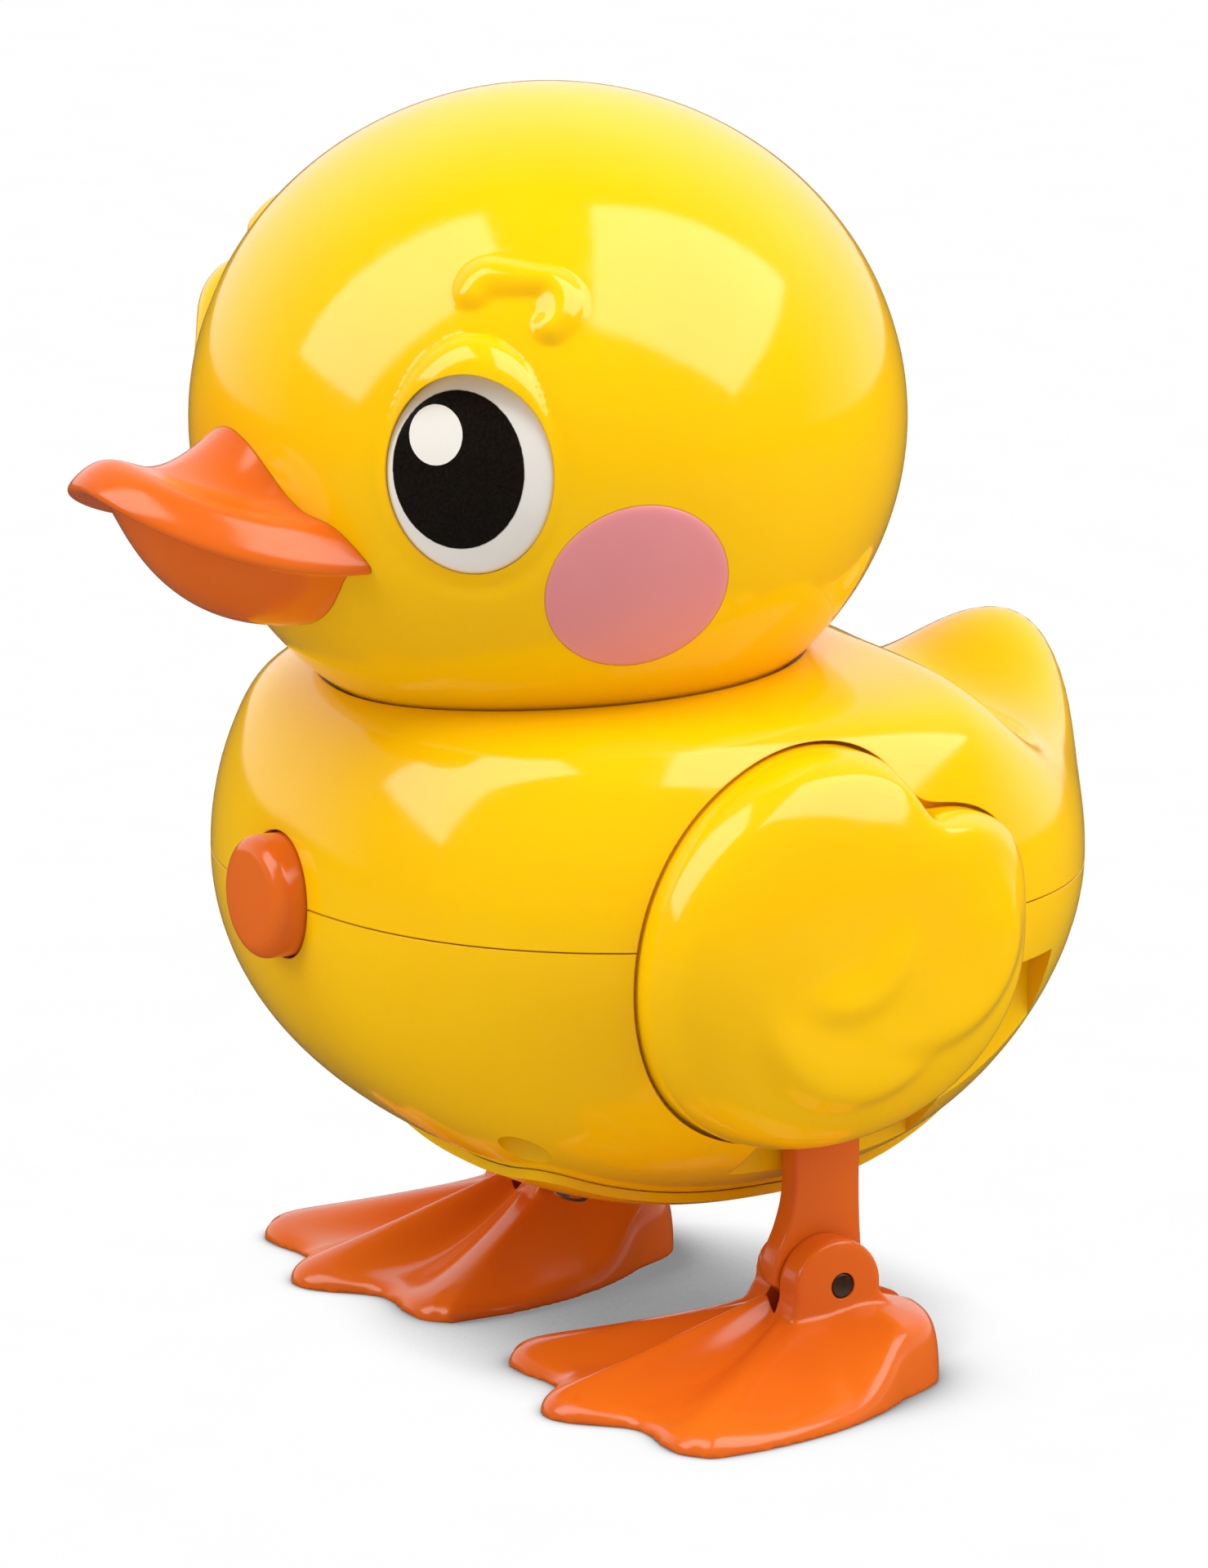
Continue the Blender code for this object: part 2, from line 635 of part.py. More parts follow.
def bill_mesh(name, upper):
    """Flat-billed sphere: the plan is a half ellipse, the top a saddle with a raised lip."""
    bm = bmesh.new()
    bmesh.ops.create_uvsphere(bm, u_segments=20, v_segments=10, radius=1.0)
    shrink = 1.0 if upper else 0.9
    for vertex in bm.verts:
        dx, dy, dz = vertex.co
        reach = min(math.hypot(dx, dy), 1.0)
        side = abs(dx) / reach if reach > 1e-6 else 0.0
        droop = 9.0 * MM * side ** 2 * reach ** 1.5 + 2.5 * MM * side ** 2
        sheet = bill_crown(reach) - droop
        edge = max(1.0 - reach ** 5, 0.0) ** 0.5
        x = BILL_HALF_WIDTH * dx * shrink
        y = BILL_BASE_Y + BILL_LENGTH * dy * shrink
        if upper:
            z = sheet - 1.7 * MM + math.copysign(1.7 * MM, dz) * edge
        elif dz >= 0.0:
            z = sheet - 3.9 * MM - 0.8 * MM * edge
        else:
            keel = 14.0 * MM * max(1.0 - reach ** 2.4, 0.0) ** 0.6
            z = sheet - 3.9 * MM - keel + 2.0 * MM * side ** 2 * edge
        vertex.co = Vector((x, y, z))
    return finish_mesh(bm, name)


def build_head_parts():
    add_cutter("insert_outer", head_mesh("insert_outer", GAP + INSERT_THICKNESS, 48, 32))
    add_cutter("insert_inner", head_mesh("insert_inner", GAP, 48, 32))
    parts = [build_head_shell()]
    for side, word in ((1.0, "left"), (-1.0, "right")):
        parts.append(insert_part(word + "_eye", EYE_CENTRE, EYE_HALF_WIDTH, EYE_HALF_HEIGHT, side, "white"))
        parts.append(insert_part(word + "_cheek", CHEEK_CENTRE, CHEEK_RADIUS, CHEEK_RADIUS, side, "pink"))
    for name in ("upper_bill", "lower_bill"):
        bill = add_part(name, bill_mesh(name, name == "upper_bill"), "orange")
        parts.append(cut(bill, bpy.data.objects["cut_insert_inner"]))
    return parts


def build_neck():
    y = HEAD_CENTRE.y
    origin = (0.0, y, 0.0)
    flange_z = HEAD_CENTRE.z - (HEAD_HEIGHT - WALL) + 2.3 * MM
    tube_end = 69.9 * MM
    swivel = turned_part("neck_swivel", [
        (0.0, flange_z + 1.8 * MM), (11.0 * MM, flange_z + 1.8 * MM), (11.0 * MM, flange_z),
        (NECK_RADIUS, flange_z), (NECK_RADIUS, tube_end), (1.6 * MM, tube_end),
        (1.6 * MM, tube_end + 5.0 * MM), (0.0, tube_end + 5.0 * MM)], origin, (0, 0, 1), "white")
    washer_top = tube_end - GAP
    washer_base = washer_top - 1.0 * MM
    retainer = turned_part("neck_retainer", [
        (1.9 * MM, washer_top), (8.6 * MM, washer_top), (8.6 * MM, washer_base),
        (1.9 * MM, washer_base), (1.9 * MM, washer_top)], origin, (0, 0, 1), "steel")
    head = (0.0, y, washer_base - GAP)
    screw = screw_part("neck_screw", head, (0, 0, 1), 5.8 * MM, "steel", 3.2 * MM, 1.45 * MM)
    return [swivel, retainer, screw]


# ---------------------------------------------------------------------------------- wings



def wing_shell_mesh(name, grow_inward, rings, segments):
    """Open dome from the rim to the crown, as a polar grid about the wing's middle."""
    bm = bmesh.new()
    bmesh.ops.create_uvsphere(bm, u_segments=segments, v_segments=rings * 2, radius=1.0)
    for vertex in bm.verts:
        dy, dz, up = vertex.co
        reach = min(math.hypot(dy, dz), 1.0)
        angle = math.degrees(math.atan2(dz, dy))
        outline = wing_reach(angle) - grow_inward
        y = WING_Y + outline * reach * math.cos(math.radians(angle))
        z = WING_Z + outline * reach * math.sin(math.radians(angle))
        rim_y = WING_Y + wing_reach(angle) * math.cos(math.radians(angle))
        rim_z = WING_Z + wing_reach(angle) * math.sin(math.radians(angle))
        rim = body_side_x(rim_y, rim_z) + GAP
        crown = WING_CROWN_X - grow_inward
        if up >= -1e-4:
            dome = (1.0 - reach ** 2.6) ** 0.5
            lip = rim + WING_RIM_HEIGHT * ease(up * 6.0)
            x = lip + (crown - lip) * dome
        else:
            x = rim + (20.0 * MM if grow_inward else 8.0 * MM) * up
        vertex.co = Vector((x, y, z))
    return finish_mesh(bm, name)


def build_wing(word, side):
    name = word + "_wing"
    outer = wing_shell_mesh(name, 0.0, 5, 30)
    inner = wing_shell_mesh(name + "_core", WALL, 4, 20)
    boss = rod_mesh("wing_boss", 3.0 * MM, (44 * MM, *WING_SCREW), (54.0 * MM, *WING_SCREW), 12)
    if side < 0.0:
        outer, inner, boss = (mirrored_mesh(m, m.name + "_mirrored") for m in (outer, inner, boss))
    outer.name = name
    wing = add_part(name, outer, "yellow")
    core = add_cutter(name + "_core", inner)
    cut(core, add_cutter(name + "_boss", boss))
    cut(wing, core)
    cut(wing, add_cutter(name + "_seat", body_mesh(name + "_seat", GAP, *BODY_GRID)))
    pilot = x_rod_mesh("wing_pilot", 1.25 * MM, side * 40 * MM, side * 52.5 * MM, WING_SCREW, 12)
    cut(wing, add_cutter(name + "_pilot", pilot))
    if side < 0.0:
        cut(wing, bpy.data.objects["cut_arbor_hole"])
    under_head = Vector((side * 43.5 * MM, *WING_SCREW))
    screw = screw_part(f"{word}_wing_screw", under_head, (side, 0, 0), 8.2 * MM)
    return wing, screw


# ---------------------------------------------------------------------------------- legs and feet

def leg_outline():
    """Side view of a leg: hip hub, straight strut, and a wedge that stops the foot."""
    half = LEG_WIDTH / 2.0
    points = arc(HIP, 5.6 * MM, 215.0, -35.0, 10)
    points += [(half + 0.3 * MM, 34.0 * MM), (half + 0.3 * MM, 24.0 * MM), (4.9 * MM, ANKLE_Z + 4.0 * MM)]
    points += arc((0.0, ANKLE_Z), 4.6 * MM, 20.0, -150.0, 8)
    points += [(-6.3 * MM, 12.6 * MM), (-6.5 * MM, 14.2 * MM), (-4.6 * MM, 18.4 * MM)]
    points += [(-half + 1.0 * MM, 23.0 * MM), (-half + 0.4 * MM, 34.0 * MM)]
    return points


def build_leg(word, side):
    x0, x1 = LEG_X - LEG_THICKNESS / 2, LEG_X + LEG_THICKNESS / 2
    mesh = extruded_mesh(word + "_leg", leg_outline(), x0, x1)
    if side < 0.0:
        mesh = mirrored_mesh(mesh, word + "_leg")
    leg = add_part(word + "_leg", mesh, "orange")
    ends = (side * 20.0 * MM, side * 45.0 * MM)
    cut(leg, add_cutter(word + "_hub_hole", x_rod_mesh("hub_hole", 2.08 * MM, *ends, HIP)))
    pin_hole = x_rod_mesh("pin_hole", ANKLE_PIN_RADIUS + RUNNING, *ends, (0.0, ANKLE_Z))
    cut(leg, add_cutter(word + "_pin_hole", pin_hole))
    pocket_ends = (side * 20.0 * MM, side * (x0 + 1.9 * MM))
    pocket = x_rod_mesh("spring_pocket", 3.2 * MM, *pocket_ends, (0.0, ANKLE_Z), 20)
    cut(leg, add_cutter(word + "_spring_pocket", pocket))
    under_head = Vector((side * (x1 + GAP), 0.0, HIP_Z))
    screw = screw_part(word + "_leg_screw", under_head, (-side, 0, 0), 5.0 * MM, "steel", 3.4 * MM)
    return leg, screw


def foot_reach(angle):
    """Outline of the sole about the ankle; the angle (degrees) is measured from straight ahead."""
    turn = abs(angle)
    if turn < 40.0:
        return (34.0 + 2.6 * math.cos(math.radians(turn * 360.0 / 36.0))) * MM
    side = math.radians(turn - 40.0)
    heel = 2.4 * ease((turn - 100.0) / 40.0)
    return (11.2 + 24.4 * math.exp(-(side / 0.62)) + heel) * MM


def foot_mesh(name):
    """Webbed foot: a flat sole, three toe ridges that rise to the ankle, and a heel block."""
    bm = bmesh.new()
    bmesh.ops.create_uvsphere(bm, u_segments=30, v_segments=8, radius=1.0)
    for vertex in bm.verts:
        dx, dy, dz = vertex.co
        reach = min(math.hypot(dx, dy), 1.0)
        turn = math.degrees(math.atan2(dx, -dy))
        radius = foot_reach(turn) * reach
        x = radius * math.sin(math.radians(turn))
        y = -radius * math.cos(math.radians(turn))
        ridge = math.exp(-(min(abs(turn), abs(abs(turn) - 36.0)) / 11.0) ** 2)
        slope = 2.4 * MM + (7.4 * MM + 1.8 * MM * ridge) * ease(1.05 - math.hypot(x, y) / (36.0 * MM))
        edge = max(1.0 - reach ** 10, 0.0) ** 0.5
        z = slope * edge if dz > 1e-4 else 0.0
        vertex.co = Vector((LEG_X + x, y, z))
    return finish_mesh(bm, name)


def ear_outline():
    points = arc((0.0, ANKLE_Z), 6.3 * MM, 200.0, -10.0, 10)
    foot = [(8.6, 7.0), (8.6, 2.0), (-8.6, 2.0), (-8.0, 8.0)]
    return points + [(y * MM, z * MM) for y, z in foot]


def build_foot(word, side):
    """Foot with two ears about the leg, its ankle pin and the coil spring on the pin."""
    name = word + "_foot"
    slot = (LEG_X - LEG_THICKNESS / 2 - GAP, LEG_X + LEG_THICKNESS / 2 + GAP)
    outer = slot[1] + EAR_THICKNESS
    inner = slot[0] - EAR_THICKNESS
    meshes = [foot_mesh(name), extruded_mesh("ears", ear_outline(), inner, outer)]
    meshes.append(box_mesh("slot", (slot[0], -6.9 * MM, 5.6 * MM), (slot[1], 20.0 * MM, 30.0 * MM)))
    if side < 0.0:
        meshes = [mirrored_mesh(m, m.name) for m in meshes]
    foot = add_part(name, meshes[0], "orange")
    foot.data.name = name
    join(foot, add_cutter(name + "_ears", meshes[1]))
    cut(foot, add_cutter(name + "_slot", meshes[2]))
    ends = (side * (inner - 5.0 * MM), side * (outer + 5.0 * MM))
    pin_hole = x_rod_mesh("pin_hole", ANKLE_PIN_RADIUS + RUNNING, *ends, (0.0, ANKLE_Z))
    cut(foot, add_cutter(name + "_pin_hole", pin_hole))
    pin_mesh = x_rod_mesh(
        word + "_ankle_pin", ANKLE_PIN_RADIUS,
        side * (inner - 0.1 * MM), side * (outer + 0.1 * MM), (0.0, ANKLE_Z))
    pin = add_part(word + "_ankle_pin", pin_mesh, "dark_steel")
    coil_x = (side * (slot[0] + 0.5 * MM), side * (slot[0] + 1.75 * MM))
    spring = coil_part(word + "_ankle_spring", 2.4 * MM, 0.22 * MM, 2.4, *coil_x, (0.0, ANKLE_Z))
    return foot, pin, spring


def build_hips():
    reach = LEG_X + LEG_THICKNESS / 2
    shaft = add_part("hip_shaft", x_rod_mesh("hip_shaft", 2.0 * MM, -reach, reach, HIP), "steel")
    for side in (1.0, -1.0):
        pilot_ends = (side * (reach - 6.0 * MM), side * (reach + 5.0 * MM))
        pilot = x_rod_mesh("shaft_pilot", 1.25 * MM, *pilot_ends, HIP, 12)
        cut(shaft, add_cutter(f"shaft_pilot_{side:+.0f}", pilot))
    arm_angle = math.radians(180.0 + 32.0)
    arm_end = (22.0 * MM * math.cos(arm_angle), HIP_Z + 22.0 * MM * math.sin(arm_angle))
    outline = arc(HIP, 4.2 * MM, 190.0, -126.0, 12) + arc(arm_end, 1.3 * MM, -58.0, -238.0, 5)
    lever = add_part("hip_lever", extruded_mesh("hip_lever", outline, 8.5 * MM, 11.0 * MM), "steel")
    cut(lever, add_cutter("lever_hole", x_rod_mesh("lever_hole", 2.08 * MM, 5.0 * MM, 15.0 * MM, HIP)))
    return [shaft, lever]


# ---------------------------------------------------------------------------------- clockwork

def step_from(shaft, distance, angle):
    return shaft[0] + distance * math.cos(angle), shaft[1] + distance * math.sin(angle)


ARBOR_B = step_from(ARBOR_A, FIRST_STEP, ANGLE_AB)
ARBOR_C = step_from(ARBOR_B, NEXT_STEP, ANGLE_BC)
ARBOR_D = step_from(ARBOR_C, NEXT_STEP, ANGLE_CD)


def gear_mesh(name, teeth, x0, x1, shaft, phase):
    """Spur gear: a cylinder whose rim is shaped into teeth; one tooth is centred on the phase."""
    bm = bmesh.new()
    bmesh.ops.create_cone(bm, cap_ends=True, segments=4 * teeth, radius1=1.0, radius2=1.0, depth=1.0)
    pitch_radius = MODULE * teeth / 2.0
    root, tip = pitch_radius - 1.1 * MODULE, pitch_radius + 0.8 * MODULE
    corners = ((-0.29, root), (-0.11, tip), (0.11, tip), (0.29, root))
    for vertex in bm.verts:
        index = round(math.atan2(vertex.co.y, vertex.co.x) / (2.0 * math.pi) * 4 * teeth) % (4 * teeth)
        offset, radius = corners[index % 4]
        angle = phase + 2.0 * math.pi * (index // 4 + offset) / teeth
        x = x0 if vertex.co.z < 0.0 else x1
        y, z = shaft[0] + radius * math.cos(angle), shaft[1] + radius * math.sin(angle)
        vertex.co = Vector((x, y, z))
    return finish_mesh(bm, name)


def meshing_phase(teeth, driver_teeth, driver_phase, line):
    """Phase that puts a gap opposite the driver's nearest tooth on the line between centres."""
    driver_turn = (line - driver_phase) * driver_teeth / (2.0 * math.pi)
    share = driver_turn - math.floor(driver_turn)
    return line + math.pi + (share + 0.5) * 2.0 * math.pi / teeth


def compound_wheel(name, wheel, pinion, shaft, arbor_radius=1.2 * MM, extra=()):
    """Wheel and pinion moulded with their arbor; wheel and pinion are (teeth, x0, x1, phase)."""
    obj = add_part(name, gear_mesh(name, wheel[0], wheel[1], wheel[2], shaft, wheel[3]), "white")
    arbor = x_rod_mesh(name + "_arbor", arbor_radius, -PLATE_X - 1.2 * MM, PLATE_X + 1.2 * MM, shaft, 12)
    small = gear_mesh(name + "_pinion", pinion[0], pinion[1], pinion[2], shaft, pinion[3])
    join(obj, add_cutter(name + "_pinion", small), add_cutter(name + "_arbor", arbor), *extra)
    return obj


def build_train():
    """Great wheel, second wheel, cam wheel and governor, in mesh at rest."""
    phase_b = meshing_phase(PINION_TEETH, GREAT_TEETH, 0.0, ANGLE_AB)
    phase_c = meshing_phase(PINION_TEETH, WHEEL_TEETH, 0.0, ANGLE_BC)
    phase_d = meshing_phase(PINION_TEETH, WHEEL_TEETH, 0.0, ANGLE_CD)
    great = gear_mesh("great_wheel", GREAT_TEETH, -3 * MM, -1 * MM, ARBOR_A, 0.0)
    great = add_part("great_wheel", great, "brass")
    cut(great, add_cutter("great_bore", x_rod_mesh("great_bore", 2.08 * MM, -8 * MM, 8 * MM, ARBOR_A)))
    second = compound_wheel("second_wheel", (WHEEL_TEETH, 1 * MM, 3 * MM, 0.0),
                            (PINION_TEETH, -3.5 * MM, 1.4 * MM, phase_b), ARBOR_B)
    cam_centre = (ARBOR_C[0] - 2.0 * MM, ARBOR_C[1])
    cam = add_cutter("cam", x_rod_mesh("cam", 5.0 * MM, 8.5 * MM, 11.0 * MM, cam_centre, 24))
    third = compound_wheel("cam_wheel", (WHEEL_TEETH, 5 * MM, 7 * MM, 0.0),
                           (PINION_TEETH, 0.5 * MM, 5.4 * MM, phase_c), ARBOR_C, extra=(cam,))
    disc = add_cutter("brake_disc", x_rod_mesh("brake_disc", BRAKE_RADIUS, -2 * MM, 1 * MM, ARBOR_D, 24))
    governor = add_part("governor_wheel", gear_mesh(
        "governor_wheel", PINION_TEETH, 4.5 * MM, 7.5 * MM, ARBOR_D, phase_d), "white")
    spindle = x_rod_mesh("spindle", 1.2 * MM, -PLATE_X - 1.2 * MM, PLATE_X + 1.2 * MM, ARBOR_D, 12)
    join(governor, add_cutter("spindle", spindle), disc)
    return great, second, third, governor


def build_winding():
    """Winding arbor, outside knob and the flat main spring about the arbor."""
    arbor_mesh = x_rod_mesh("winding_arbor", 2.0 * MM, -62.0 * MM, PLATE_X + 1.2 * MM, ARBOR_A)
    arbor = add_part("winding_arbor", arbor_mesh, "steel")
    knob = x_rod_mesh("winding_knob", 8.0 * MM, -57.0 * MM, -63.5 * MM, ARBOR_A, 32)
    knob = add_part("winding_knob", knob, "orange")
    grips = 8
    for i in range(grips):
        angle = 2.0 * math.pi * i / grips
        centre = step_from(ARBOR_A, 9.0 * MM, angle)
        cut(knob, add_cutter(f"grip_{i}", x_rod_mesh("grip", 1.8 * MM, -70 * MM, -50 * MM, centre, 10)))
    cut(knob, add_cutter("knob_bore", x_rod_mesh("knob_bore", 2.08 * MM, -62.3 * MM, -50 * MM, ARBOR_A)))
    return arbor, knob, build_mainspring()


def build_mainspring():
    """Flat strip wound in a spiral: a band swept by two arms of the same spiral, 0.5 mm apart."""
    turns, steps, strip = 4.0, 56, 0.45 * MM
    inner, outer = 3.0 * MM, 10.8 * MM
    near, far = [], []
    for i in range(steps + 1):
        share = i / steps
        angle = 2.0 * math.pi * turns * share
        reach = inner + (outer - inner) * share
        near.append(step_from(ARBOR_A, reach, angle))
        far.append(step_from(ARBOR_A, reach + strip, angle))
    outline = near + far[::-1]
    return add_part("mainspring", extruded_mesh("mainspring", outline, -11.5 * MM, -4.5 * MM), "steel")




def motor_screw_places():
    for y in MOTOR_SCREWS_Y:
        yield MOTOR_POST_X, y
        yield -MOTOR_POST_X, y


def build_plate(name, side):
    """Side plate of the clockwork with two feet; the left plate carries the pillars."""
    inner, outer = side * PLATE_X, side * (PLATE_X + PLATE_THICKNESS)
    outline = [(y * MM, z * MM) for y, z in PLATE_OUTLINE]
    plate = add_part(name, extruded_mesh(name, outline, min(inner, outer), max(inner, outer)), "steel")
    for i, y in enumerate(MOTOR_SCREWS_Y):
        near, far = sorted((side * 7.8 * MM, side * (PLATE_X + 0.7 * MM)))
        tab = box_mesh("tab", (near, y - 4 * MM, 31.0 * MM), (far, y + 4 * MM, 32.4 * MM))
        join(plate, add_cutter(f"{name}_tab_{i}", tab))
        x = side * MOTOR_POST_X
        hole = rod_mesh("hole", 1.4 * MM, (x, y, 25 * MM), (x, y, 34 * MM), 8)
        cut(plate, add_cutter(f"{name}_tab_hole_{i}", hole))
    bearings = [(ARBOR_A, 2.0 * MM), (HIP, 2.0 * MM), (LEVER_PIVOT, 0.9 * MM)]
    bearings += [(shaft, 1.2 * MM) for shaft in (ARBOR_B, ARBOR_C, ARBOR_D)]
    for i, (shaft, radius) in enumerate(bearings):
        bore = x_rod_mesh("bore", radius + RUNNING, side * 5 * MM, side * 20 * MM, shaft, 12)
        cut(plate, add_cutter(f"{name}_bore_{i}", bore))
    for i, place in enumerate(PILLARS):
        if side > 0.0:
            pillar = x_rod_mesh("pillar", 1.9 * MM, -PLATE_X + GAP, PLATE_X + 0.7 * MM, place, 8)
            join(plate, add_cutter(f"pillar_{i}", pillar))
            pilot = x_rod_mesh("pilot", 1.0 * MM, -PLATE_X - 2 * MM, -PLATE_X + 6 * MM, place, 8)
            cut(plate, add_cutter(f"pillar_pilot_{i}", pilot))
        else:
            hole = x_rod_mesh("hole", 1.2 * MM, -20 * MM, -5 * MM, place, 8)
            cut(plate, add_cutter(f"pillar_hole_{i}", hole))
    return plate


def build_motor_frame():
    parts = [build_plate("left_motor_plate", 1.0), build_plate("right_motor_plate", -1.0)]
    for i, place in enumerate(PILLARS):
        under_head = (-PLATE_X - PLATE_THICKNESS - GAP, *place)
        name = f"plate_screw_{i + 1}"
        parts.append(screw_part(name, under_head, (1, 0, 0), 6.0 * MM, "steel", 2.0 * MM, 0.9 * MM))
    for i, (x, y) in enumerate(motor_screw_places()):
        under_head = (x, y, 32.4 * MM + GAP)
        name = f"motor_screw_{i + 1}"
        parts.append(screw_part(name, under_head, (0, 0, -1), 7.0 * MM, "steel", 2.2 * MM))
    return parts


def build_button():
    """Chest button with its stem, its return spring and the lever that brakes the governor."""
    face = -BUTTON_Y
    lip_front = -BUTTON_LIP_Y
    lip_rear = lip_front - 0.8 * MM
    lip_radius = BUTTON_RADIUS + BUTTON_LIP
    button = turned_part("chest_button", [
        (0.0, face), (BUTTON_RADIUS - 2.2 * MM, face - 0.1 * MM),
        (BUTTON_RADIUS - 0.7 * MM, face - 0.6 * MM),
        (BUTTON_RADIUS, face - 2.0 * MM), (BUTTON_RADIUS, lip_front), (lip_radius, lip_front),
        (lip_radius, lip_rear), (2.3 * MM, lip_rear), (2.3 * MM, 45.4 * MM), (1.0 * MM, 45.4 * MM),
        (1.0 * MM, 43.7 * MM), (0.0, 43.7 * MM)],
        (0.0, 0.0, BUTTON_Z), (0, -1, 0), "orange")
    spring = coil_part("button_spring", 3.6 * MM, 0.15 * MM, 3.0, 0.0, 2.1 * MM, (0.0, 0.0))
    spring.rotation_euler = (0.0, 0.0, math.radians(90.0))
    spring.location = (0.0, 0.45 * MM - lip_rear, BUTTON_Z)
    y, z = LEVER_PIVOT
    nose = ARBOR_D[0] - BRAKE_RADIUS - 0.4 * MM
    outline = [(y - 0.8 * MM, 61.5 * MM), (y + 0.8 * MM, 61.5 * MM), (y + 1.7 * MM, z + 1.6 * MM),
               (y + 1.7 * MM, z - 1.6 * MM), (y + 0.8 * MM, z - 2.0 * MM), (nose, ARBOR_D[1] + 0.6 * MM),
               (nose, ARBOR_D[1] - 0.6 * MM), (y + 0.8 * MM, 47.0 * MM), (y - 0.8 * MM, 47.0 * MM)]
    lever = add_part("stop_lever", extruded_mesh("stop_lever", outline, -1.5 * MM, 1.5 * MM), "steel")
    bore = x_rod_mesh("lever_bore", 0.9 * MM + RUNNING, -5 * MM, 5 * MM, LEVER_PIVOT, 12)
    cut(lever, add_cutter("lever_bore", bore))
    reach = PLATE_X + 1.2 * MM
    pin = x_rod_mesh("stop_lever_pin", 0.9 * MM, -reach, reach, LEVER_PIVOT, 12)
    pin = add_part("stop_lever_pin", pin, "steel")
    return button, spring, lever, pin


# ---------------------------------------------------------------------------------- assembly

def build():
    holes = tuple(shared_holes())
    build_lower_shell(holes)
    build_upper_shell(holes)
    build_belly_cover()
    for i, (x, y) in enumerate(screw_places()):
        screw_part(f"shell_screw_{i + 1}", (x, y, 49.0 * MM - GAP), (0, 0, 1), 17.0 * MM)
    build_motor_frame()
    coil_part("hop_spring", 3.6 * MM, 0.4 * MM, 4.0, 16.0 * MM, 22.0 * MM, HIP)

    head_axis = axis_empty("head_axis", HEAD_CENTRE)
    hang(head_axis, *build_head_parts(), *build_neck())

    hip_axis = axis_empty("hip_axis", Vector((0.0, 0.0, HIP_Z)))
    hang(hip_axis, *build_hips())
    for word, side in (("left", 1.0), ("right", -1.0)):
        build_wing(word, side)
        hang(hip_axis, *build_leg(word, side))
        ankle = axis_empty(word + "_ankle_axis", Vector((side * LEG_X, 0.0, ANKLE_Z)))
        hang(ankle, *build_foot(word, side))

    arbor, knob, _ = build_winding()
    great, second, third, governor = build_train()
    for name, shaft, parts in (("winding_axis", ARBOR_A, (arbor, knob, great)),
                               ("second_axis", ARBOR_B, (second,)),
                               ("cam_axis", ARBOR_C, (third,)), ("governor_axis", ARBOR_D, (governor,))):
        hang(axis_empty(name, Vector((0.0, *shaft))), *parts)

    button, _, lever, _ = build_button()
    hang(axis_empty("button_axis", Vector((0.0, BUTTON_Y, BUTTON_Z))), button)
    hang(axis_empty("stop_lever_axis", Vector((0.0, *LEVER_PIVOT))), lever)


def move_to_origin():
    """Put the middle of the toy's box over the origin; pieces, cutters and axes all move together."""
    for obj in bpy.data.objects:
        if obj.parent is None:
            obj.location += ORIGIN_SHIFT


build()
move_to_origin()
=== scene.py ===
"""Looks of the wind-up hopping duckling: fine moulded skins, printed eyes, metals and soft studio light.

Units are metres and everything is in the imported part's frame: +Z up, the duckling faces -Y, its left is +X.
"""

import json
import math

import bmesh
import bpy
from mathutils import Matrix, Vector

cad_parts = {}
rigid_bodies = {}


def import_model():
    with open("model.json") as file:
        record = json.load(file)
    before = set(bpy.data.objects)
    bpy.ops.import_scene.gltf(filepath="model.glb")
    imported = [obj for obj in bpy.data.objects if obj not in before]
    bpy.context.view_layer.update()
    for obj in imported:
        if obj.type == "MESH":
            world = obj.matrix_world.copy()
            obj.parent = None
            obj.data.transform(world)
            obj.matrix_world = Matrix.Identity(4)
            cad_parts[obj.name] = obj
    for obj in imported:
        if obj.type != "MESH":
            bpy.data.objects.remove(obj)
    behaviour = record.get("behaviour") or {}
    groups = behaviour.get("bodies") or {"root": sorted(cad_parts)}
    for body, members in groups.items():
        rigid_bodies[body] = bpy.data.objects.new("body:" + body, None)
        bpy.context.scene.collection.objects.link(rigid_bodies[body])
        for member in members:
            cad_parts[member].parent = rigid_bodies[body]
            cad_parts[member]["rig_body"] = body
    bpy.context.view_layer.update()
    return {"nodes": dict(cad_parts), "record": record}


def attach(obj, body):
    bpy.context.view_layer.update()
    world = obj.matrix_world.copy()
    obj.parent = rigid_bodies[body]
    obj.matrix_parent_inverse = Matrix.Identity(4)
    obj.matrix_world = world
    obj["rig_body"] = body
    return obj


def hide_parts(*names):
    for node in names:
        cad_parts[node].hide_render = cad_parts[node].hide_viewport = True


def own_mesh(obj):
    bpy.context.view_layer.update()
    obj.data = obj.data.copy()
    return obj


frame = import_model()

MM = 0.001
GAP = 0.3 * MM

# Forms below are written about the plane of symmetry and the hip shaft; this is where they sit in the frame.
ORIGIN_SHIFT = Vector((4.0, 14.5, 0.0)) * MM

# ------------------------------------------------------------------ the CAD's own forms, at a finer step

PARTING_Z = 58.0 * MM
BODY_CENTRE_Y = -3.1 * MM
BODY_HALF_WIDTH = 49.8 * MM
BODY_FRONT = 52.0 * MM
BODY_REAR = 46.9 * MM
BODY_RISE = 45.6 * MM
BODY_DROP = 41.4 * MM
PLAN_EXPONENT = 2.4
BELLY_EXPONENT = 1.9
BELLY_SHEAR = 3.1 * MM
SHOULDER_Z = 75.0 * MM
SHOULDER_ROUNDING = 10.0 * MM
TAIL_PUSH = Vector((0.0, 8.7, 4.3)) * MM
TAIL_RISE = math.radians(18.0)
TAIL_DIRECTION = Vector((0.0, math.cos(TAIL_RISE), math.sin(TAIL_RISE)))
TAIL_SPREAD = math.radians(22.0)
SADDLE_Y = 27.5 * MM
SADDLE_WIDTH = 7.0 * MM
SADDLE_DEPTH = 5.5 * MM
SADDLE_HALF_WIDTH = 18.0 * MM
TAIL_FLANK_DROP = 8.0 * MM
TAIL_RIDGE_WIDTH = 11.0 * MM
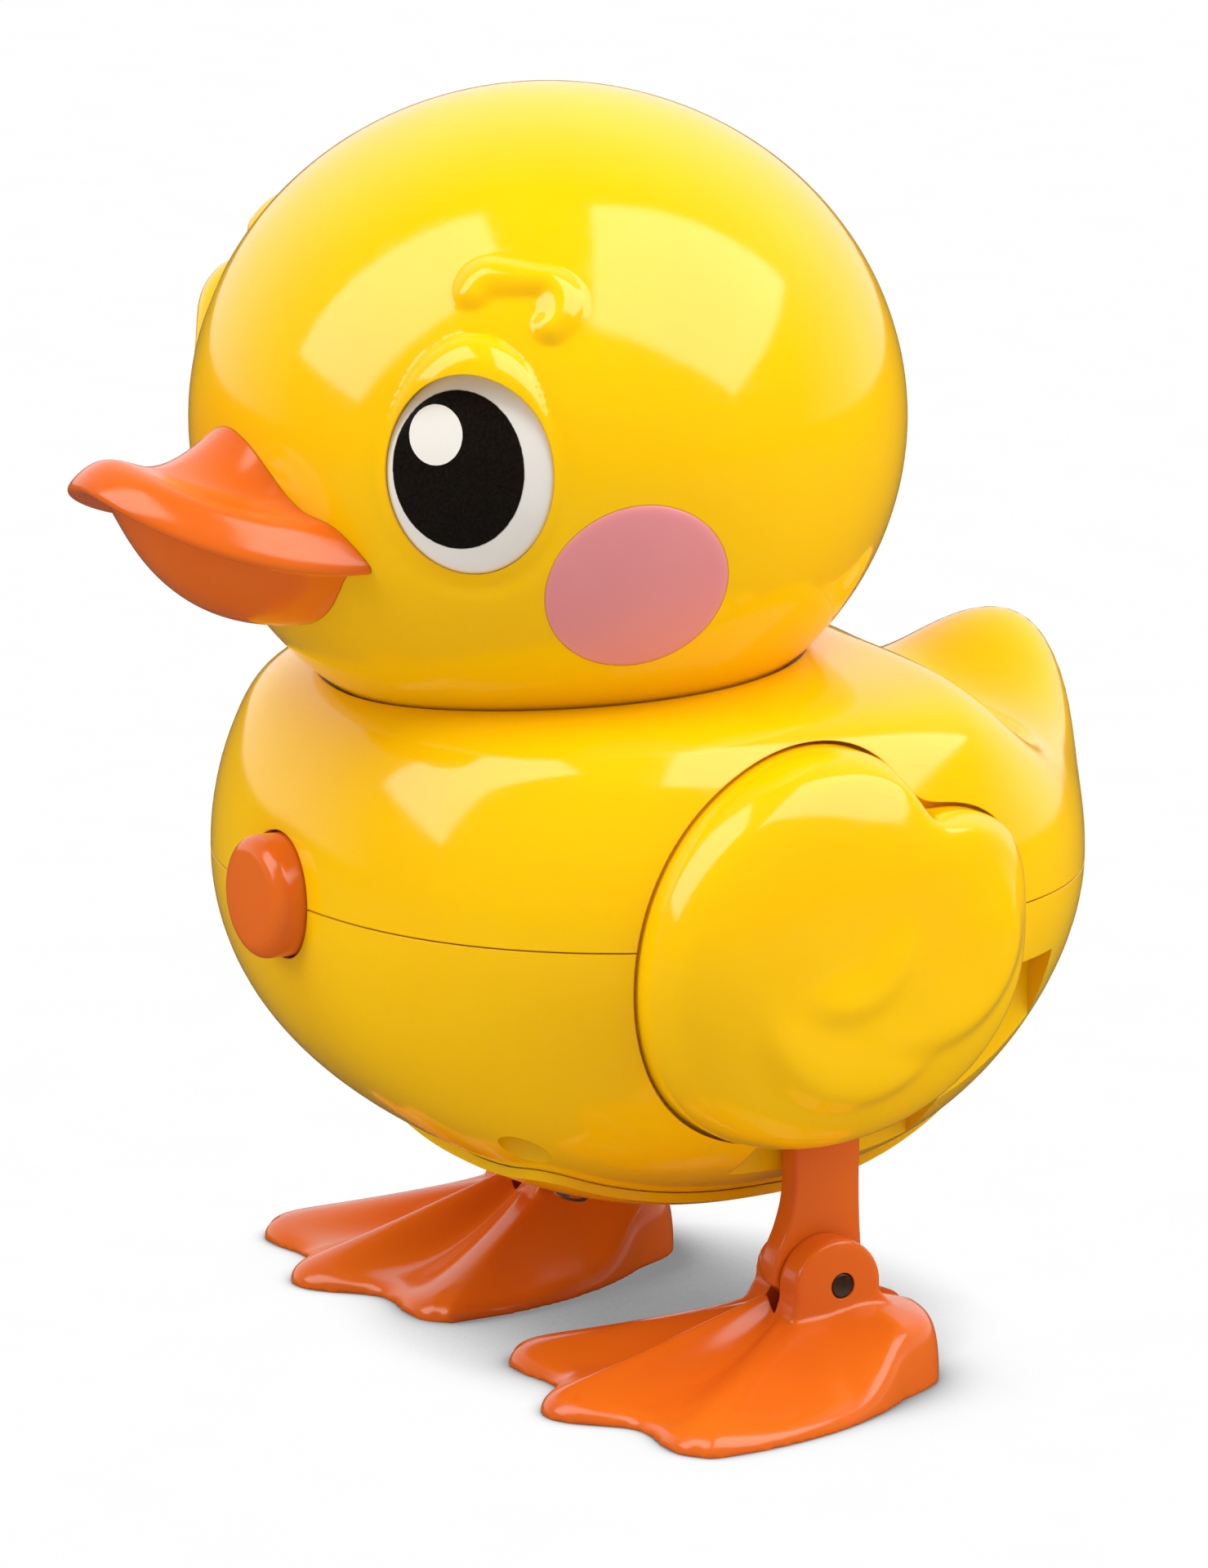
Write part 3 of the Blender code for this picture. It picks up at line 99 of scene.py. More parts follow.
TAIL_FRONT_Y = 14.0 * MM
TAIL_FRONT_RAMP = 20.0 * MM
WALL = 2.0 * MM
PARTING_GAP = 0.16 * MM
HEAD_SEAT_GAP = 0.28 * MM

HEAD_CENTRE = Vector((0.0, -18.5, 111.7)) * MM
HEAD_RADIUS = 42.2 * MM
HEAD_HEIGHT = 39.2 * MM
NECK_RADIUS = 7.2 * MM
EYE_CENTRE = Vector((31.6, -46.6, 112.7)) * MM
EYE_HALF_WIDTH = 9.8 * MM
EYE_HALF_HEIGHT = 11.7 * MM
EYE_RECESS = 1.3 * MM
CHEEK_CENTRE = Vector((38.6, -28.1, 98.5)) * MM
CHEEK_RADIUS = 10.8 * MM
CHEEK_RECESS = 0.35 * MM
BILL_BASE_Y = -53.5 * MM
BILL_HALF_WIDTH = 20.9 * MM
BILL_LENGTH = 25.9 * MM
BILL_RIDGE_WIDTH = 10.6 * MM
BILL_TOP_Z = 110.0 * MM
BILL_RIDGE_HEIGHT = 8.1 * MM
BILL_RIDGE_LENGTH = 0.345
BILL_RIM_HEIGHT = 2.4 * MM
BILL_DROOP = 8.1 * MM
BILL_HALF_THICKNESS = 1.9 * MM
BILL_GAP = 0.12 * MM
LOWER_BILL_Z = 91.0 * MM
LOWER_BILL_WIDTH = 0.88
LOWER_BILL_LENGTH = 0.80

WING_Y = -7.2 * MM
WING_Z = 55.0 * MM
WING_RADIUS = 24.3 * MM
WING_RIM_HEIGHT = 3.0 * MM
WING_CROWN_X = 55.5 * MM
WING_RECESS = 1.3 * MM
WING_SEAT_X = (34.0 * MM, 62.0 * MM)
WING_GAP = 0.45 * MM
NOTCH_GAP = 0.8 * MM
WING_BUMP = 1.9 * MM
WING_BUMP_ANGLE = 26.0
WING_BUMP_SPREAD = 14.0
WING_SCALLOP = 3.8 * MM
WING_SCALLOP_ANGLE = 57.0
NOTCH_SPREAD = 10.0
WING_RIM_ROLL = 0.45
WING_SKIRT = 7.5 * MM
WING_SCREW = (-9.0 * MM, 70.0 * MM)

HIP_Z = 43.0 * MM
ANKLE_Z = 12.3 * MM
LEG_X = 31.4 * MM
LEG_THICKNESS = 3.6 * MM
LEG_WIDTH = 9.4 * MM
BAY_WALL_X = 28.6 * MM
BAY_FRONT_Y = -10.5 * MM
BAY_REAR_Y = 14.0 * MM
BAY_STEP_X = 35.5 * MM
BAY_STEP_Y = 26.5 * MM
BAY_TOP_Z = 50.5 * MM
BAY_OUTSIDE_X = 70.0 * MM
BAY_WALL = 1.6 * MM
EAR_THICKNESS = 4.1 * MM
ANKLE_PIN_RADIUS = 1.5 * MM
ANKLE = (0.0, ANKLE_Z)
ANKLE_BORE = 1.58 * MM
SPRING_POCKET = 3.2 * MM
ARBOR_A = (-3.0 * MM, 57.7 * MM)
HIP = (0.0, HIP_Z)
HIP_BORE = 2.1 * MM
SHAFT_FIT = 2.08 * MM

BUTTON_Y = -58.8 * MM
BUTTON_Z = 58.2 * MM
BUTTON_RADIUS = 7.3 * MM
BUTTON_LIP = 1.4 * MM
BUTTON_LIP_Y = -51.2 * MM
BUTTON_SPRING_FOOT_Y = -47.7 * MM
BUTTON_STEM_RADIUS = 2.3 * MM
BUTTON_STEM_BORE = 2.8 * MM
BUTTON_STEM_END = 45.4 * MM
BUTTON_TIP = 43.7 * MM
BUTTON_EDGE = 2.4 * MM
BUTTON_FLANGE = 0.8 * MM
ARBOR_BORE = 2.6 * MM
SHELL_SCREWS = ((22.0 * MM, -34.0 * MM), (19.0 * MM, 33.0 * MM))
MOTOR_POSTS = ((10.6 * MM, -29.0 * MM), (10.6 * MM, 0.0))
MOTOR_POST_TOP = 30.7 * MM
MOTOR_POST_RADIUS = 3.0 * MM
BOSS_RADIUS = 4.4 * MM
UPPER_BOSS_RADIUS = 3.6 * MM
BOSS_OVERLAP = 5.0 * MM
SCREW_WELL = 3.1 * MM
SCREW_WELL_TOP = 49.0 * MM
SCREW_CLEARANCE = 1.5 * MM
SCREW_PILOT = 1.25 * MM
BELLY_SCREWS_Y = (-15.0 * MM, 20.0 * MM)
BELLY_COVER_HALF_WIDTH = 19.0 * MM
BELLY_COVER_Y = (-30.0 * MM, 28.0 * MM)
BELLY_COVER_OUTSIDE = 1.3 * MM
BELLY_COVER_GAP = 0.15 * MM

BODY_GRID = (176, 112)
CORE_GRID = (20, 10)
HEAD_GRID = (160, 104)
FINE_GRID = (128, 80)
FACE_GRID_REACHES = (26.0 * MM, 24.0 * MM)
FACE_GRID_RAISE = 3.0 * MM
SEAT_GRID = (96, 64)
WING_STEPS = 144
COIL_STEPS = 36
SIDES = ((1.0, "left"), (-1.0, "right"))


# ------------------------------------------------------------------ curves of one variable

def ease(value):
    """Smooth step from 0 to 1."""
    value = min(max(value, 0.0), 1.0)
    return value * value * (3.0 - 2.0 * value)


def bell(value, width, power=2.0):
    """1 at zero, falling away on both sides over about `width`."""
    return math.exp(-abs(value / width) ** power)


# ------------------------------------------------------------------ mesh tools

def finish_mesh(bm, name):
    bmesh.ops.recalc_face_normals(bm, faces=bm.faces)
    mesh = bpy.data.meshes.new(name)
    bm.to_mesh(mesh)
    bm.free()
    return mesh


def temporary(mesh):
    obj = bpy.data.objects.new("working", mesh)
    bpy.context.scene.collection.objects.link(obj)
    return obj


def settle(obj, *others):
    """Mesh of a working object with its modifiers applied; the working objects go away."""
    bpy.context.view_layer.update()
    depsgraph = bpy.context.evaluated_depsgraph_get()
    mesh = bpy.data.meshes.new_from_object(obj.evaluated_get(depsgraph))
    for spent in (obj, *others):
        bpy.data.objects.remove(spent, do_unlink=True)
    return mesh


def combine(mesh, *steps):
    """Chain of booleans: each step is (operation, mesh)."""
    obj = temporary(mesh)
    tools = []
    for operation, other in steps:
        tool = temporary(other)
        modifier = obj.modifiers.new("step", "BOOLEAN")
        modifier.operation = operation
        modifier.solver = "EXACT"
        modifier.object = tool
        tools.append(tool)
    return settle(obj, *tools)


def cut(mesh, *others):
    return combine(mesh, *(("DIFFERENCE", other) for other in others))


def bevelled(mesh, width, segments=3, angle=40.0):
    obj = temporary(mesh)
    modifier = obj.modifiers.new("rounding", "BEVEL")
    modifier.width = width
    modifier.segments = segments
    modifier.limit_method = "ANGLE"
    modifier.angle_limit = math.radians(angle)
    return settle(obj)


def melted(mesh, voxel, rounds):
    """One soft moulded skin: voxel remesh, then smoothing that fills inner corners."""
    obj = temporary(mesh)
    remesh = obj.modifiers.new("skin", "REMESH")
    remesh.mode = "VOXEL"
    remesh.voxel_size = voxel
    smooth = obj.modifiers.new("soft", "SMOOTH")
    smooth.factor = 0.5
    smooth.iterations = rounds
    return settle(obj)


def ring_mesh(name, rings):
    """Closed skin through rings of points; a ring of one point closes an end, and others are capped."""
    bm = bmesh.new()
    loops = [[bm.verts.new(point) for point in ring] for ring in rings]
    for near, far in zip(loops, loops[1:]):
        count = max(len(near), len(far))
        for i in range(count):
            j = (i + 1) % count
            if len(near) == 1:
                bm.faces.new((near[0], far[i], far[j]))
            elif len(far) == 1:
                bm.faces.new((near[j], near[i], far[0]))
            else:
                bm.faces.new((near[i], near[j], far[j], far[i]))
    for loop in (loops[0], loops[-1]):
        if len(loop) > 2:
            bm.faces.new(loop)
    return finish_mesh(bm, name)


def aligned(axis):
    return Vector((0.0, 0.0, 1.0)).rotation_difference(Vector(axis)).to_matrix()


def turned_mesh(name, profile, origin, axis, segments=64, shape=None):
    """Solid of revolution through (radius, height) pairs; shape(angle, height) can scale the radius."""
    turn = aligned(axis)
    origin = Vector(origin)
    rings = []
    for radius, height in profile:
        if radius < 1e-7:
            rings.append([origin + turn @ Vector((0.0, 0.0, height))])
            continue
        ring = []
        for i in range(segments):
            angle = 2.0 * math.pi * i / segments
            reach = radius * (shape(angle, height) if shape else 1.0)
            ring.append(origin + turn @ Vector((reach * math.cos(angle), reach * math.sin(angle), height)))
        rings.append(ring)
    return ring_mesh(name, rings)


def rod_mesh(radius, start, end, segments=32):
    start, end = Vector(start), Vector(end)
    length = (end - start).length
    profile = [(0.0, 0.0), (radius, 0.0), (radius, length), (0.0, length)]
    return turned_mesh("rod", profile, start, end - start, segments)


def x_rod_mesh(radius, x0, x1, shaft, segments=32):
    return rod_mesh(radius, (x0, *shaft), (x1, *shaft), segments)


def y_rod_mesh(radius, y0, y1, segments):
    """Rod on the chest button's axis."""
    return rod_mesh(radius, (0.0, y0, BUTTON_Z), (0.0, y1, BUTTON_Z), segments)


def z_rod_mesh(radius, x, y, z0, z1, segments):
    return rod_mesh(radius, (x, y, z0), (x, y, z1), segments)


def box_mesh(low, high):
    bm = bmesh.new()
    bmesh.ops.create_cube(bm, size=1.0)
    for vertex in bm.verts:
        vertex.co = Vector((low[i] + (high[i] - low[i]) * (vertex.co[i] + 0.5) for i in range(3)))
    return finish_mesh(bm, "box")


def plate_mesh(outline, x0, x1):
    """Plate between x0 and x1 with an outline of (y, z) points."""
    bm = bmesh.new()
    face = bm.faces.new([bm.verts.new((x0, y, z)) for y, z in outline])
    for item in bmesh.ops.extrude_face_region(bm, geom=[face])["geom"]:
        if isinstance(item, bmesh.types.BMVert):
            item.co.x = x1
    return finish_mesh(bm, "plate")


def mirrored(mesh):
    bm = bmesh.new()
    bm.from_mesh(mesh)
    for vertex in bm.verts:
        vertex.co.x = -vertex.co.x
    bmesh.ops.reverse_faces(bm, faces=bm.faces)
    return finish_mesh(bm, mesh.name + "_mirrored")


def arc(centre, radius, start, end, count):
    points = []
    for i in range(count + 1):
        angle = math.radians(start + (end - start) * i / count)
        points.append((centre[0] + radius * math.cos(angle), centre[1] + radius * math.sin(angle)))
    return points


def smooth_run(points, steps=8):
    """Catmull-Rom curve through (y, z) points."""
    run = []
    for i in range(len(points) - 1):
        before = points[max(i - 1, 0)]
        after = points[min(i + 2, len(points) - 1)]
        for k in range(steps):
            t = k / steps
            pair = []
            for a, b, c, d in zip(before, points[i], points[i + 1], after):
                pair.append(0.5 * (2 * b + (c - a) * t + (2 * a - 5 * b + 4 * c - d) * t ** 2
                                   + (3 * b - a - 3 * c + d) * t ** 3))
            run.append(tuple(pair))
    run.append(points[-1])
    return run


def coil_mesh(radius, wire, turns, start, end):
    """Round-wire coil from start to end, with flat caps on the wire ends."""
    start, end = Vector(start), Vector(end)
    turn = aligned(end - start)
    length = (end - start).length
    curve = bpy.data.curves.new("coil", "CURVE")
    curve.dimensions = "3D"
    curve.bevel_depth = wire
    curve.bevel_resolution = 3
    curve.use_fill_caps = True
    count = int(turns * COIL_STEPS)
    spline = curve.splines.new("POLY")
    spline.points.add(count)
    for i, point in enumerate(spline.points):
        share = i / count
        angle = 2.0 * math.pi * turns * share
        place = start + turn @ Vector((radius * math.cos(angle), radius * math.sin(angle), length * share))
        point.co = (*place, 1.0)
    obj = bpy.data.objects.new("coil", curve)
    bpy.context.scene.collection.objects.link(obj)
    mesh = settle(obj)
    bpy.data.curves.remove(curve)
    bm = bmesh.new()
    bm.from_mesh(mesh)
    bmesh.ops.remove_doubles(bm, verts=bm.verts, dist=0.001 * MM)
    return finish_mesh(bm, "coil")


# ------------------------------------------------------------------ materials

EDGE_ROUNDING = 0.25 * MM


def node_material(name):
    material = bpy.data.materials.new(name)
    material.use_nodes = True
    return material, material.node_tree, material.node_tree.nodes["Principled BSDF"]


def textured(tree, scale, detail=2.0, kind="ShaderNodeTexNoise", stretch=(1.0, 1.0, 1.0)):
    """Noise in the part's own coordinates, in features of about 1/scale metres."""
    place = tree.nodes.new("ShaderNodeTexCoord")
    mapping = tree.nodes.new("ShaderNodeMapping")
    mapping.inputs["Scale"].default_value = stretch
    tree.links.new(place.outputs["Object"], mapping.inputs["Vector"])
    texture = tree.nodes.new(kind)
    texture.inputs["Scale"].default_value = scale
    if "Detail" in texture.inputs:
        texture.inputs["Detail"].default_value = detail
    tree.links.new(mapping.outputs["Vector"], texture.inputs["Vector"])
    return texture


def ranged(tree, source, low, high, from_low=0.3, from_high=0.7):
    span = tree.nodes.new("ShaderNodeMapRange")
    span.inputs["From Min"].default_value = from_low
    span.inputs["From Max"].default_value = from_high
    span.inputs["To Min"].default_value = low
    span.inputs["To Max"].default_value = high
    tree.links.new(source, span.inputs["Value"])
    return span.outputs["Result"]


def mixed(tree, factor, first, second):
    """Colour mix; first and second are colours or sockets."""
    mix = tree.nodes.new("ShaderNodeMix")
    mix.data_type = "RGBA"
    tree.links.new(factor, mix.inputs["Factor"])
    for name, value in (("A", first), ("B", second)):
        socket = [s for s in mix.inputs if s.name == name and s.type == "RGBA"][0]
        if isinstance(value, tuple):
            socket.default_value = (*value, 1.0)
        else:
            tree.links.new(value, socket)
    return [s for s in mix.outputs if s.type == "RGBA"][0]


def bumped(tree, height, strength, distance):
    bump = tree.nodes.new("ShaderNodeBump")
    bump.inputs["Strength"].default_value = strength
    bump.inputs["Distance"].default_value = distance
    tree.links.new(height, bump.inputs["Height"])
    return bump


def calculated(tree, operation, first, second):
    """Maths node on a socket and a second socket or number."""
    step = tree.nodes.new("ShaderNodeMath")
    step.operation = operation
    tree.links.new(first, step.inputs[0])
    if isinstance(second, float):
        step.inputs[1].default_value = second
    else:
        tree.links.new(second, step.inputs[1])
    return step.outputs[0]


def vector_step(tree, operation, socket, vector):
    """Vector maths node on a socket and a constant vector."""
    step = tree.nodes.new("ShaderNodeVectorMath")
    step.operation = operation
    tree.links.new(socket, step.inputs[0])
    step.inputs[1].default_value = vector
    return step.outputs["Value" if operation == "DOT_PRODUCT" else "Vector"]


def moulded_plastic(name, colour, deep, roughness=0.1, peel=0.05):
    """Glossy moulded plastic: faint colour drift, orange-peel skin, fine scuffs, rounded edges."""
    material, tree, shader = node_material(name)
    drift = textured(tree, 38.0, 3.0)
    factor = ranged(tree, drift.outputs[0], 0.0, 1.0)
    tree.links.new(mixed(tree, factor, colour, deep), shader.inputs["Base Color"])
    scuff = textured(tree, 900.0, 4.0, stretch=(1.0, 0.25, 1.0))
    rough = ranged(tree, scuff.outputs[0], roughness, roughness + 0.07, 0.45, 0.75)
    tree.links.new(rough, shader.inputs["Roughness"])
    skin = textured(tree, 260.0, 1.0)
    bump = bumped(tree, skin.outputs[0], peel, 0.12 * MM)
    edge = tree.nodes.new("ShaderNodeBevel")
    edge.samples = 4
    edge.inputs["Radius"].default_value = EDGE_ROUNDING
    tree.links.new(edge.outputs["Normal"], bump.inputs["Normal"])
    tree.links.new(bump.outputs["Normal"], shader.inputs["Normal"])
    shader.inputs["Specular IOR Level"].default_value = 0.5
    return material


def metal(name, colour, roughness, brushed=(1.0, 1.0, 1.0), grime=(0.25, 0.22, 0.2), speck=0.25):
    """Worn metal: streaked roughness, faint grime in patches and a hammered or brushed bump."""
    material, tree, shader = node_material(name)
    patch = textured(tree, 420.0, 5.0)
    dirt = ranged(tree, patch.outputs[0], 0.0, speck, 0.5, 0.72)
    tree.links.new(mixed(tree, dirt, colour, grime), shader.inputs["Base Color"])
    streak = textured(tree, 1300.0, 3.0, stretch=brushed)
    tree.links.new(ranged(tree, streak.outputs[0], roughness, roughness + 0.2), shader.inputs["Roughness"])
    bump = bumped(tree, streak.outputs[0], 0.15, 0.05 * MM)
    tree.links.new(bump.outputs["Normal"], shader.inputs["Normal"])
    shader.inputs["Metallic"].default_value = 1.0
    return material


YELLOW = moulded_plastic("yellow_plastic", (1.0, 0.575, 0.001), (0.98, 0.53, 0.001))
ORANGE = moulded_plastic("orange_plastic", (0.80, 0.150, 0.011), (0.74, 0.125, 0.009), roughness=0.16)
PINK = moulded_plastic("pink_plastic", (0.82, 0.275, 0.285), (0.77, 0.250, 0.262), roughness=0.38, peel=0.12)
WHITE = moulded_plastic("white_plastic", (0.80, 0.77, 0.70), (0.76, 0.73, 0.66), roughness=0.28)
STEEL = metal("zinc_steel", (0.62, 0.63, 0.65), 0.25)
PLATE_STEEL = metal("plate_steel", (0.60, 0.61, 0.63), 0.22, brushed=(1.0, 0.06, 1.0))
SPRING_STEEL = metal("spring_steel", (0.45, 0.45, 0.47), 0.2)
BRASS = metal("stamped_brass", (0.78, 0.56, 0.22), 0.25)
DARK = metal("blackened_pin", (0.16, 0.125, 0.095), 0.5, grime=(0.03, 0.022, 0.018), speck=0.9)

MATERIALS = {
    "yellow_plastic": YELLOW, "orange_plastic": ORANGE, "pink_plastic": PINK, "white_plastic": WHITE,
    "steel": STEEL, "brass": BRASS, "dark_steel": DARK,
}
SLOT_OF = {part["node"]: part["material_slot"] for part in frame["record"]["subparts"]}


def body_of(node):
    return frame["nodes"][node]["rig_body"]


def show(node, mesh, material=None, sharp=38.0):
    """The finished piece that stands for a CAD node, moved into the part's frame."""
    mesh = mesh.copy()
    mesh.name = node + "_skin"
    obj = bpy.data.objects.new(mesh.name, mesh)
    mesh.transform(Matrix.Translation(ORIGIN_SHIFT))
    bpy.context.scene.collection.objects.link(obj)
    mesh.materials.clear()
    mesh.materials.append(material or MATERIALS[SLOT_OF[node]])
    mesh.shade_smooth()
    mesh.set_sharp_from_angle(angle=math.radians(sharp))
    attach(obj, body_of(node))
    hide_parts(node)
    return obj


def show_pair(word, mesh, sharp):
    """A left piece and its mirror image."""
    show("left_" + word, mesh, sharp=sharp)
    show("right_" + word, mirrored(mesh), sharp=sharp)


# ------------------------------------------------------------------ body

def body_point(direction, grow=0.0):
    """Point of the body's outer surface, `grow` outside it, in a direction from the body's centre."""
    x, y, z = direction
    length = (BODY_FRONT if y < 0.0 else BODY_REAR) + grow
    across = (abs(x / (BODY_HALF_WIDTH + grow)) ** PLAN_EXPONENT
              + abs(y / length) ** PLAN_EXPONENT) ** (1.0 / PLAN_EXPONENT)
    height = (BODY_DROP if z < 0.0 else BODY_RISE) + grow
    power = BELLY_EXPONENT - 0.1 * y if z < 0.0 else 2.0
    reach = (across ** power + abs(z / height) ** power) ** (-1.0 / power)
    point = Vector((x * reach, y * reach + BODY_CENTRE_Y, z * reach + PARTING_Z))
    knee = SHOULDER_Z + grow
    if point.z > knee:
        point.z = knee + SHOULDER_ROUNDING * (1.0 - math.exp((knee - point.z) / SHOULDER_ROUNDING))
    tail = bell(direction.angle(TAIL_DIRECTION), TAIL_SPREAD)
    saddle = bell(point.y - SADDLE_Y, SADDLE_WIDTH) * ease((z - 0.15) / 0.25)
    saddle *= bell(point.x, SADDLE_HALF_WIDTH)
    flank = 1.0 - bell(point.x, TAIL_RIDGE_WIDTH)
    flank *= ease((point.y - TAIL_FRONT_Y) / TAIL_FRONT_RAMP) * ease(z / 0.6)
    point.y += TAIL_PUSH.y * tail
    point.z += TAIL_PUSH.z * tail * ease(z / 0.2) - SADDLE_DEPTH * saddle - TAIL_FLANK_DROP * flank
    point.y += BELLY_SHEAR * ease(-z) ** 2
    return point


def body_mesh(grow, segments, rings, half=0, lift=0.0):
    """The body's form, `grow` outside it; half is 1 for the part above the parting line, -1 for below."""
    bm = bmesh.new()
    bmesh.ops.create_uvsphere(bm, u_segments=segments, v_segments=rings, radius=1.0)
    if half:
        doomed = [v for v in bm.verts if v.co.z * half < -1e-4]
        bmesh.ops.delete(bm, geom=doomed, context="VERTS")
        cap = bmesh.ops.holes_fill(bm, edges=[e for e in bm.edges if e.is_boundary])
        bmesh.ops.poke(bm, faces=cap["faces"])
    for vertex in bm.verts:
        if vertex.co.length < 0.5:
            vertex.co = Vector((0.0, BODY_CENTRE_Y, PARTING_Z + lift))
            continue
        direction = vertex.co.normalized()
        if abs(direction.z) < 1e-4:
            direction.z = 0.0
        vertex.co = body_point(direction, grow)
        vertex.co.z += lift
    return finish_mesh(bm, "body")


def wing_reach(angle):
    """Radius of the wing's outline at an angle (degrees) in the (y, z) plane."""
    angle = (angle + 180.0) % 360.0 - 180.0
    bump = WING_BUMP * bell(angle - WING_BUMP_ANGLE, WING_BUMP_SPREAD)
    scallop = WING_SCALLOP * bell(angle - WING_SCALLOP_ANGLE, WING_BUMP_SPREAD)
    return WING_RADIUS + bump - scallop


def body_side_x(y, z):
    """Half-width of the plain body at a point of its side view."""
    height = BODY_DROP if z < PARTING_Z else BODY_RISE
    power = BELLY_EXPONENT if z < PARTING_Z else 2.0
    length = BODY_FRONT if y < BODY_CENTRE_Y else BODY_REAR
    across = (1.0 - abs((z - PARTING_Z) / height) ** power) ** (PLAN_EXPONENT / power)
    across -= abs((y - BODY_CENTRE_Y) / length) ** PLAN_EXPONENT
    return BODY_HALF_WIDTH * max(across, 0.0) ** (1.0 / PLAN_EXPONENT)


def wing_outline(spare):
    points = []
    for i in range(WING_STEPS):
        angle = 360.0 * i / WING_STEPS
        reach = wing_reach(angle) + spare
        turn = math.radians(angle)
        points.append((WING_Y + reach * math.cos(turn), WING_Z + reach * math.sin(turn)))
    return points


def both(mesh):
    return mesh, mirrored(mesh)


def bay_boxes(spare):
    """The leg bays with a shallow step behind each, `spare` larger on every side that has a wall."""
    front, rear, step_rear = BAY_FRONT_Y - spare, BAY_REAR_Y + spare, BAY_STEP_Y + spare
    inside, step, outside = BAY_WALL_X - spare, BAY_STEP_X - spare, BAY_OUTSIDE_X
    plan = [(inside, front), (outside, front), (outside, step_rear),
            (step, step_rear), (step, rear), (inside, rear)]
    bm = bmesh.new()
    low = [bm.verts.new((x, y, 0.0)) for x, y in plan]
    high = [bm.verts.new((x, y, BAY_TOP_Z + spare)) for x, y in plan]
    bm.faces.new(low)
    bm.faces.new(high)
    for k in range(len(plan)):
        bm.faces.new((low[k - 1], low[k], high[k], high[k - 1]))
    return both(finish_mesh(bm, "bay"))


def wing_recesses():
    """Shallow seats that the wing covers drop into."""
    seat = plate_mesh(wing_outline(WING_GAP), *WING_SEAT_X)
    return both(cut(seat, body_mesh(-WING_RECESS, *SEAT_GRID)))


def arbor_hole(segments):
    return x_rod_mesh(ARBOR_BORE, -60.0 * MM, -30.0 * MM, ARBOR_A, segments)


def shared_holes():
    """Holes that both shells share: the button's bore, its stem's, its lip's seat and the winding arbor's."""
    yield y_rod_mesh(BUTTON_RADIUS + GAP, -70.0 * MM, -47.0 * MM, 64)
    yield y_rod_mesh(BUTTON_STEM_BORE, -50.0 * MM, -38.0 * MM, 24)
    yield y_rod_mesh(BUTTON_RADIUS + BUTTON_LIP + GAP, BUTTON_LIP_Y - GAP, BUTTON_SPRING_FOOT_Y, 48)
    yield arbor_hole(32)


def screw_places(places):
    for x, y in places:
        yield x, y
        yield -x, y


def guide_rib(z0, z1):
    """Rib behind the button, which its stem runs through."""
    return box_mesh((-6.0 * MM, -47.4 * MM, z0), (6.0 * MM, -46.0 * MM, z1))


def build_lower_shell(seats, holes):
    posts, drills = [], []
    for x, y in screw_places(SHELL_SCREWS):
        posts.append(z_rod_mesh(BOSS_RADIUS, x, y, 0.0, PARTING_Z + BOSS_OVERLAP, 20))
        drills.append(z_rod_mesh(SCREW_WELL, x, y, 0.0, SCREW_WELL_TOP, 24))
        drills.append(z_rod_mesh(SCREW_CLEARANCE, x, y, 40.0 * MM, 70.0 * MM, 16))
    for x, y in screw_places(MOTOR_POSTS):
        posts.append(z_rod_mesh(MOTOR_POST_RADIUS, x, y, 0.0, MOTOR_POST_TOP, 20))
        drills.append(z_rod_mesh(SCREW_PILOT, x, y, MOTOR_POST_TOP - 6.5 * MM, 40.0 * MM, 16))
    drills += [belly_hole(y) for y in BELLY_SCREWS_Y]
    drills.append(x_rod_mesh(HIP_BORE, -40.0 * MM, 40.0 * MM, HIP))
    core = body_mesh(-WALL, *CORE_GRID, lift=1.0 * MM)
    core = cut(core, *bay_boxes(BAY_WALL), *posts, guide_rib(20.0 * MM, PARTING_Z + BOSS_OVERLAP))
    lower = body_mesh(0.0, *BODY_GRID, -1, -PARTING_GAP / 2)
    show("lower_body_shell", cut(lower, *bay_boxes(0.0), core, *seats, *holes, *drills))


def build_upper_shell(seats, holes):
    posts, drills = [], []
    for x, y in screw_places(SHELL_SCREWS):
        posts.append(z_rod_mesh(UPPER_BOSS_RADIUS, x, y, PARTING_Z - BOSS_OVERLAP, 100.0 * MM, 16))
        drills.append(z_rod_mesh(SCREW_PILOT, x, y, 40.0 * MM, 69.0 * MM, 16))
    drills.append(z_rod_mesh(NECK_RADIUS + GAP, 0.0, HEAD_CENTRE.y, 60.0 * MM, 90.0 * MM, 48))
    for side, _ in SIDES:
        drills.append(x_rod_mesh(SCREW_CLEARANCE, side * 30.0 * MM, side * 60.0 * MM, WING_SCREW, 16))
    core = body_mesh(-WALL, *CORE_GRID, lift=-1.0 * MM)
    neck = head_mesh(WALL + 0.6 * MM, *CORE_GRID)
    core = cut(core, neck, *posts, guide_rib(PARTING_Z - BOSS_OVERLAP, 90.0 * MM))
    upper = body_mesh(0.0, *BODY_GRID, 1, PARTING_GAP / 2)
    show("upper_body_shell", cut(upper, core, head_mesh(HEAD_SEAT_GAP, *HEAD_GRID), *seats, *holes, *drills))


def belly_z(y):
    """Height of the belly's surface on the plane of symmetry."""
    low, high = 0.0, math.pi
    for _ in range(40):
        middle = (low + high) / 2.0
        point = body_point(Vector((0.0, -math.cos(middle), -math.sin(middle))))
        if point.y < y:
            low = middle
        else:
            high = middle
    return point.z


def belly_hole(y):
    """Hole for a belly screw, square to the belly's surface."""
    slope = (belly_z(y + MM) - belly_z(y - MM)) / (2.0 * MM)
    point, outward = Vector((0.0, y, belly_z(y))), Vector((0.0, slope, -1.0)).normalized()
    return rod_mesh(SCREW_CLEARANCE, point + outward * 5.0 * MM, point - outward * 9.0 * MM, 32)


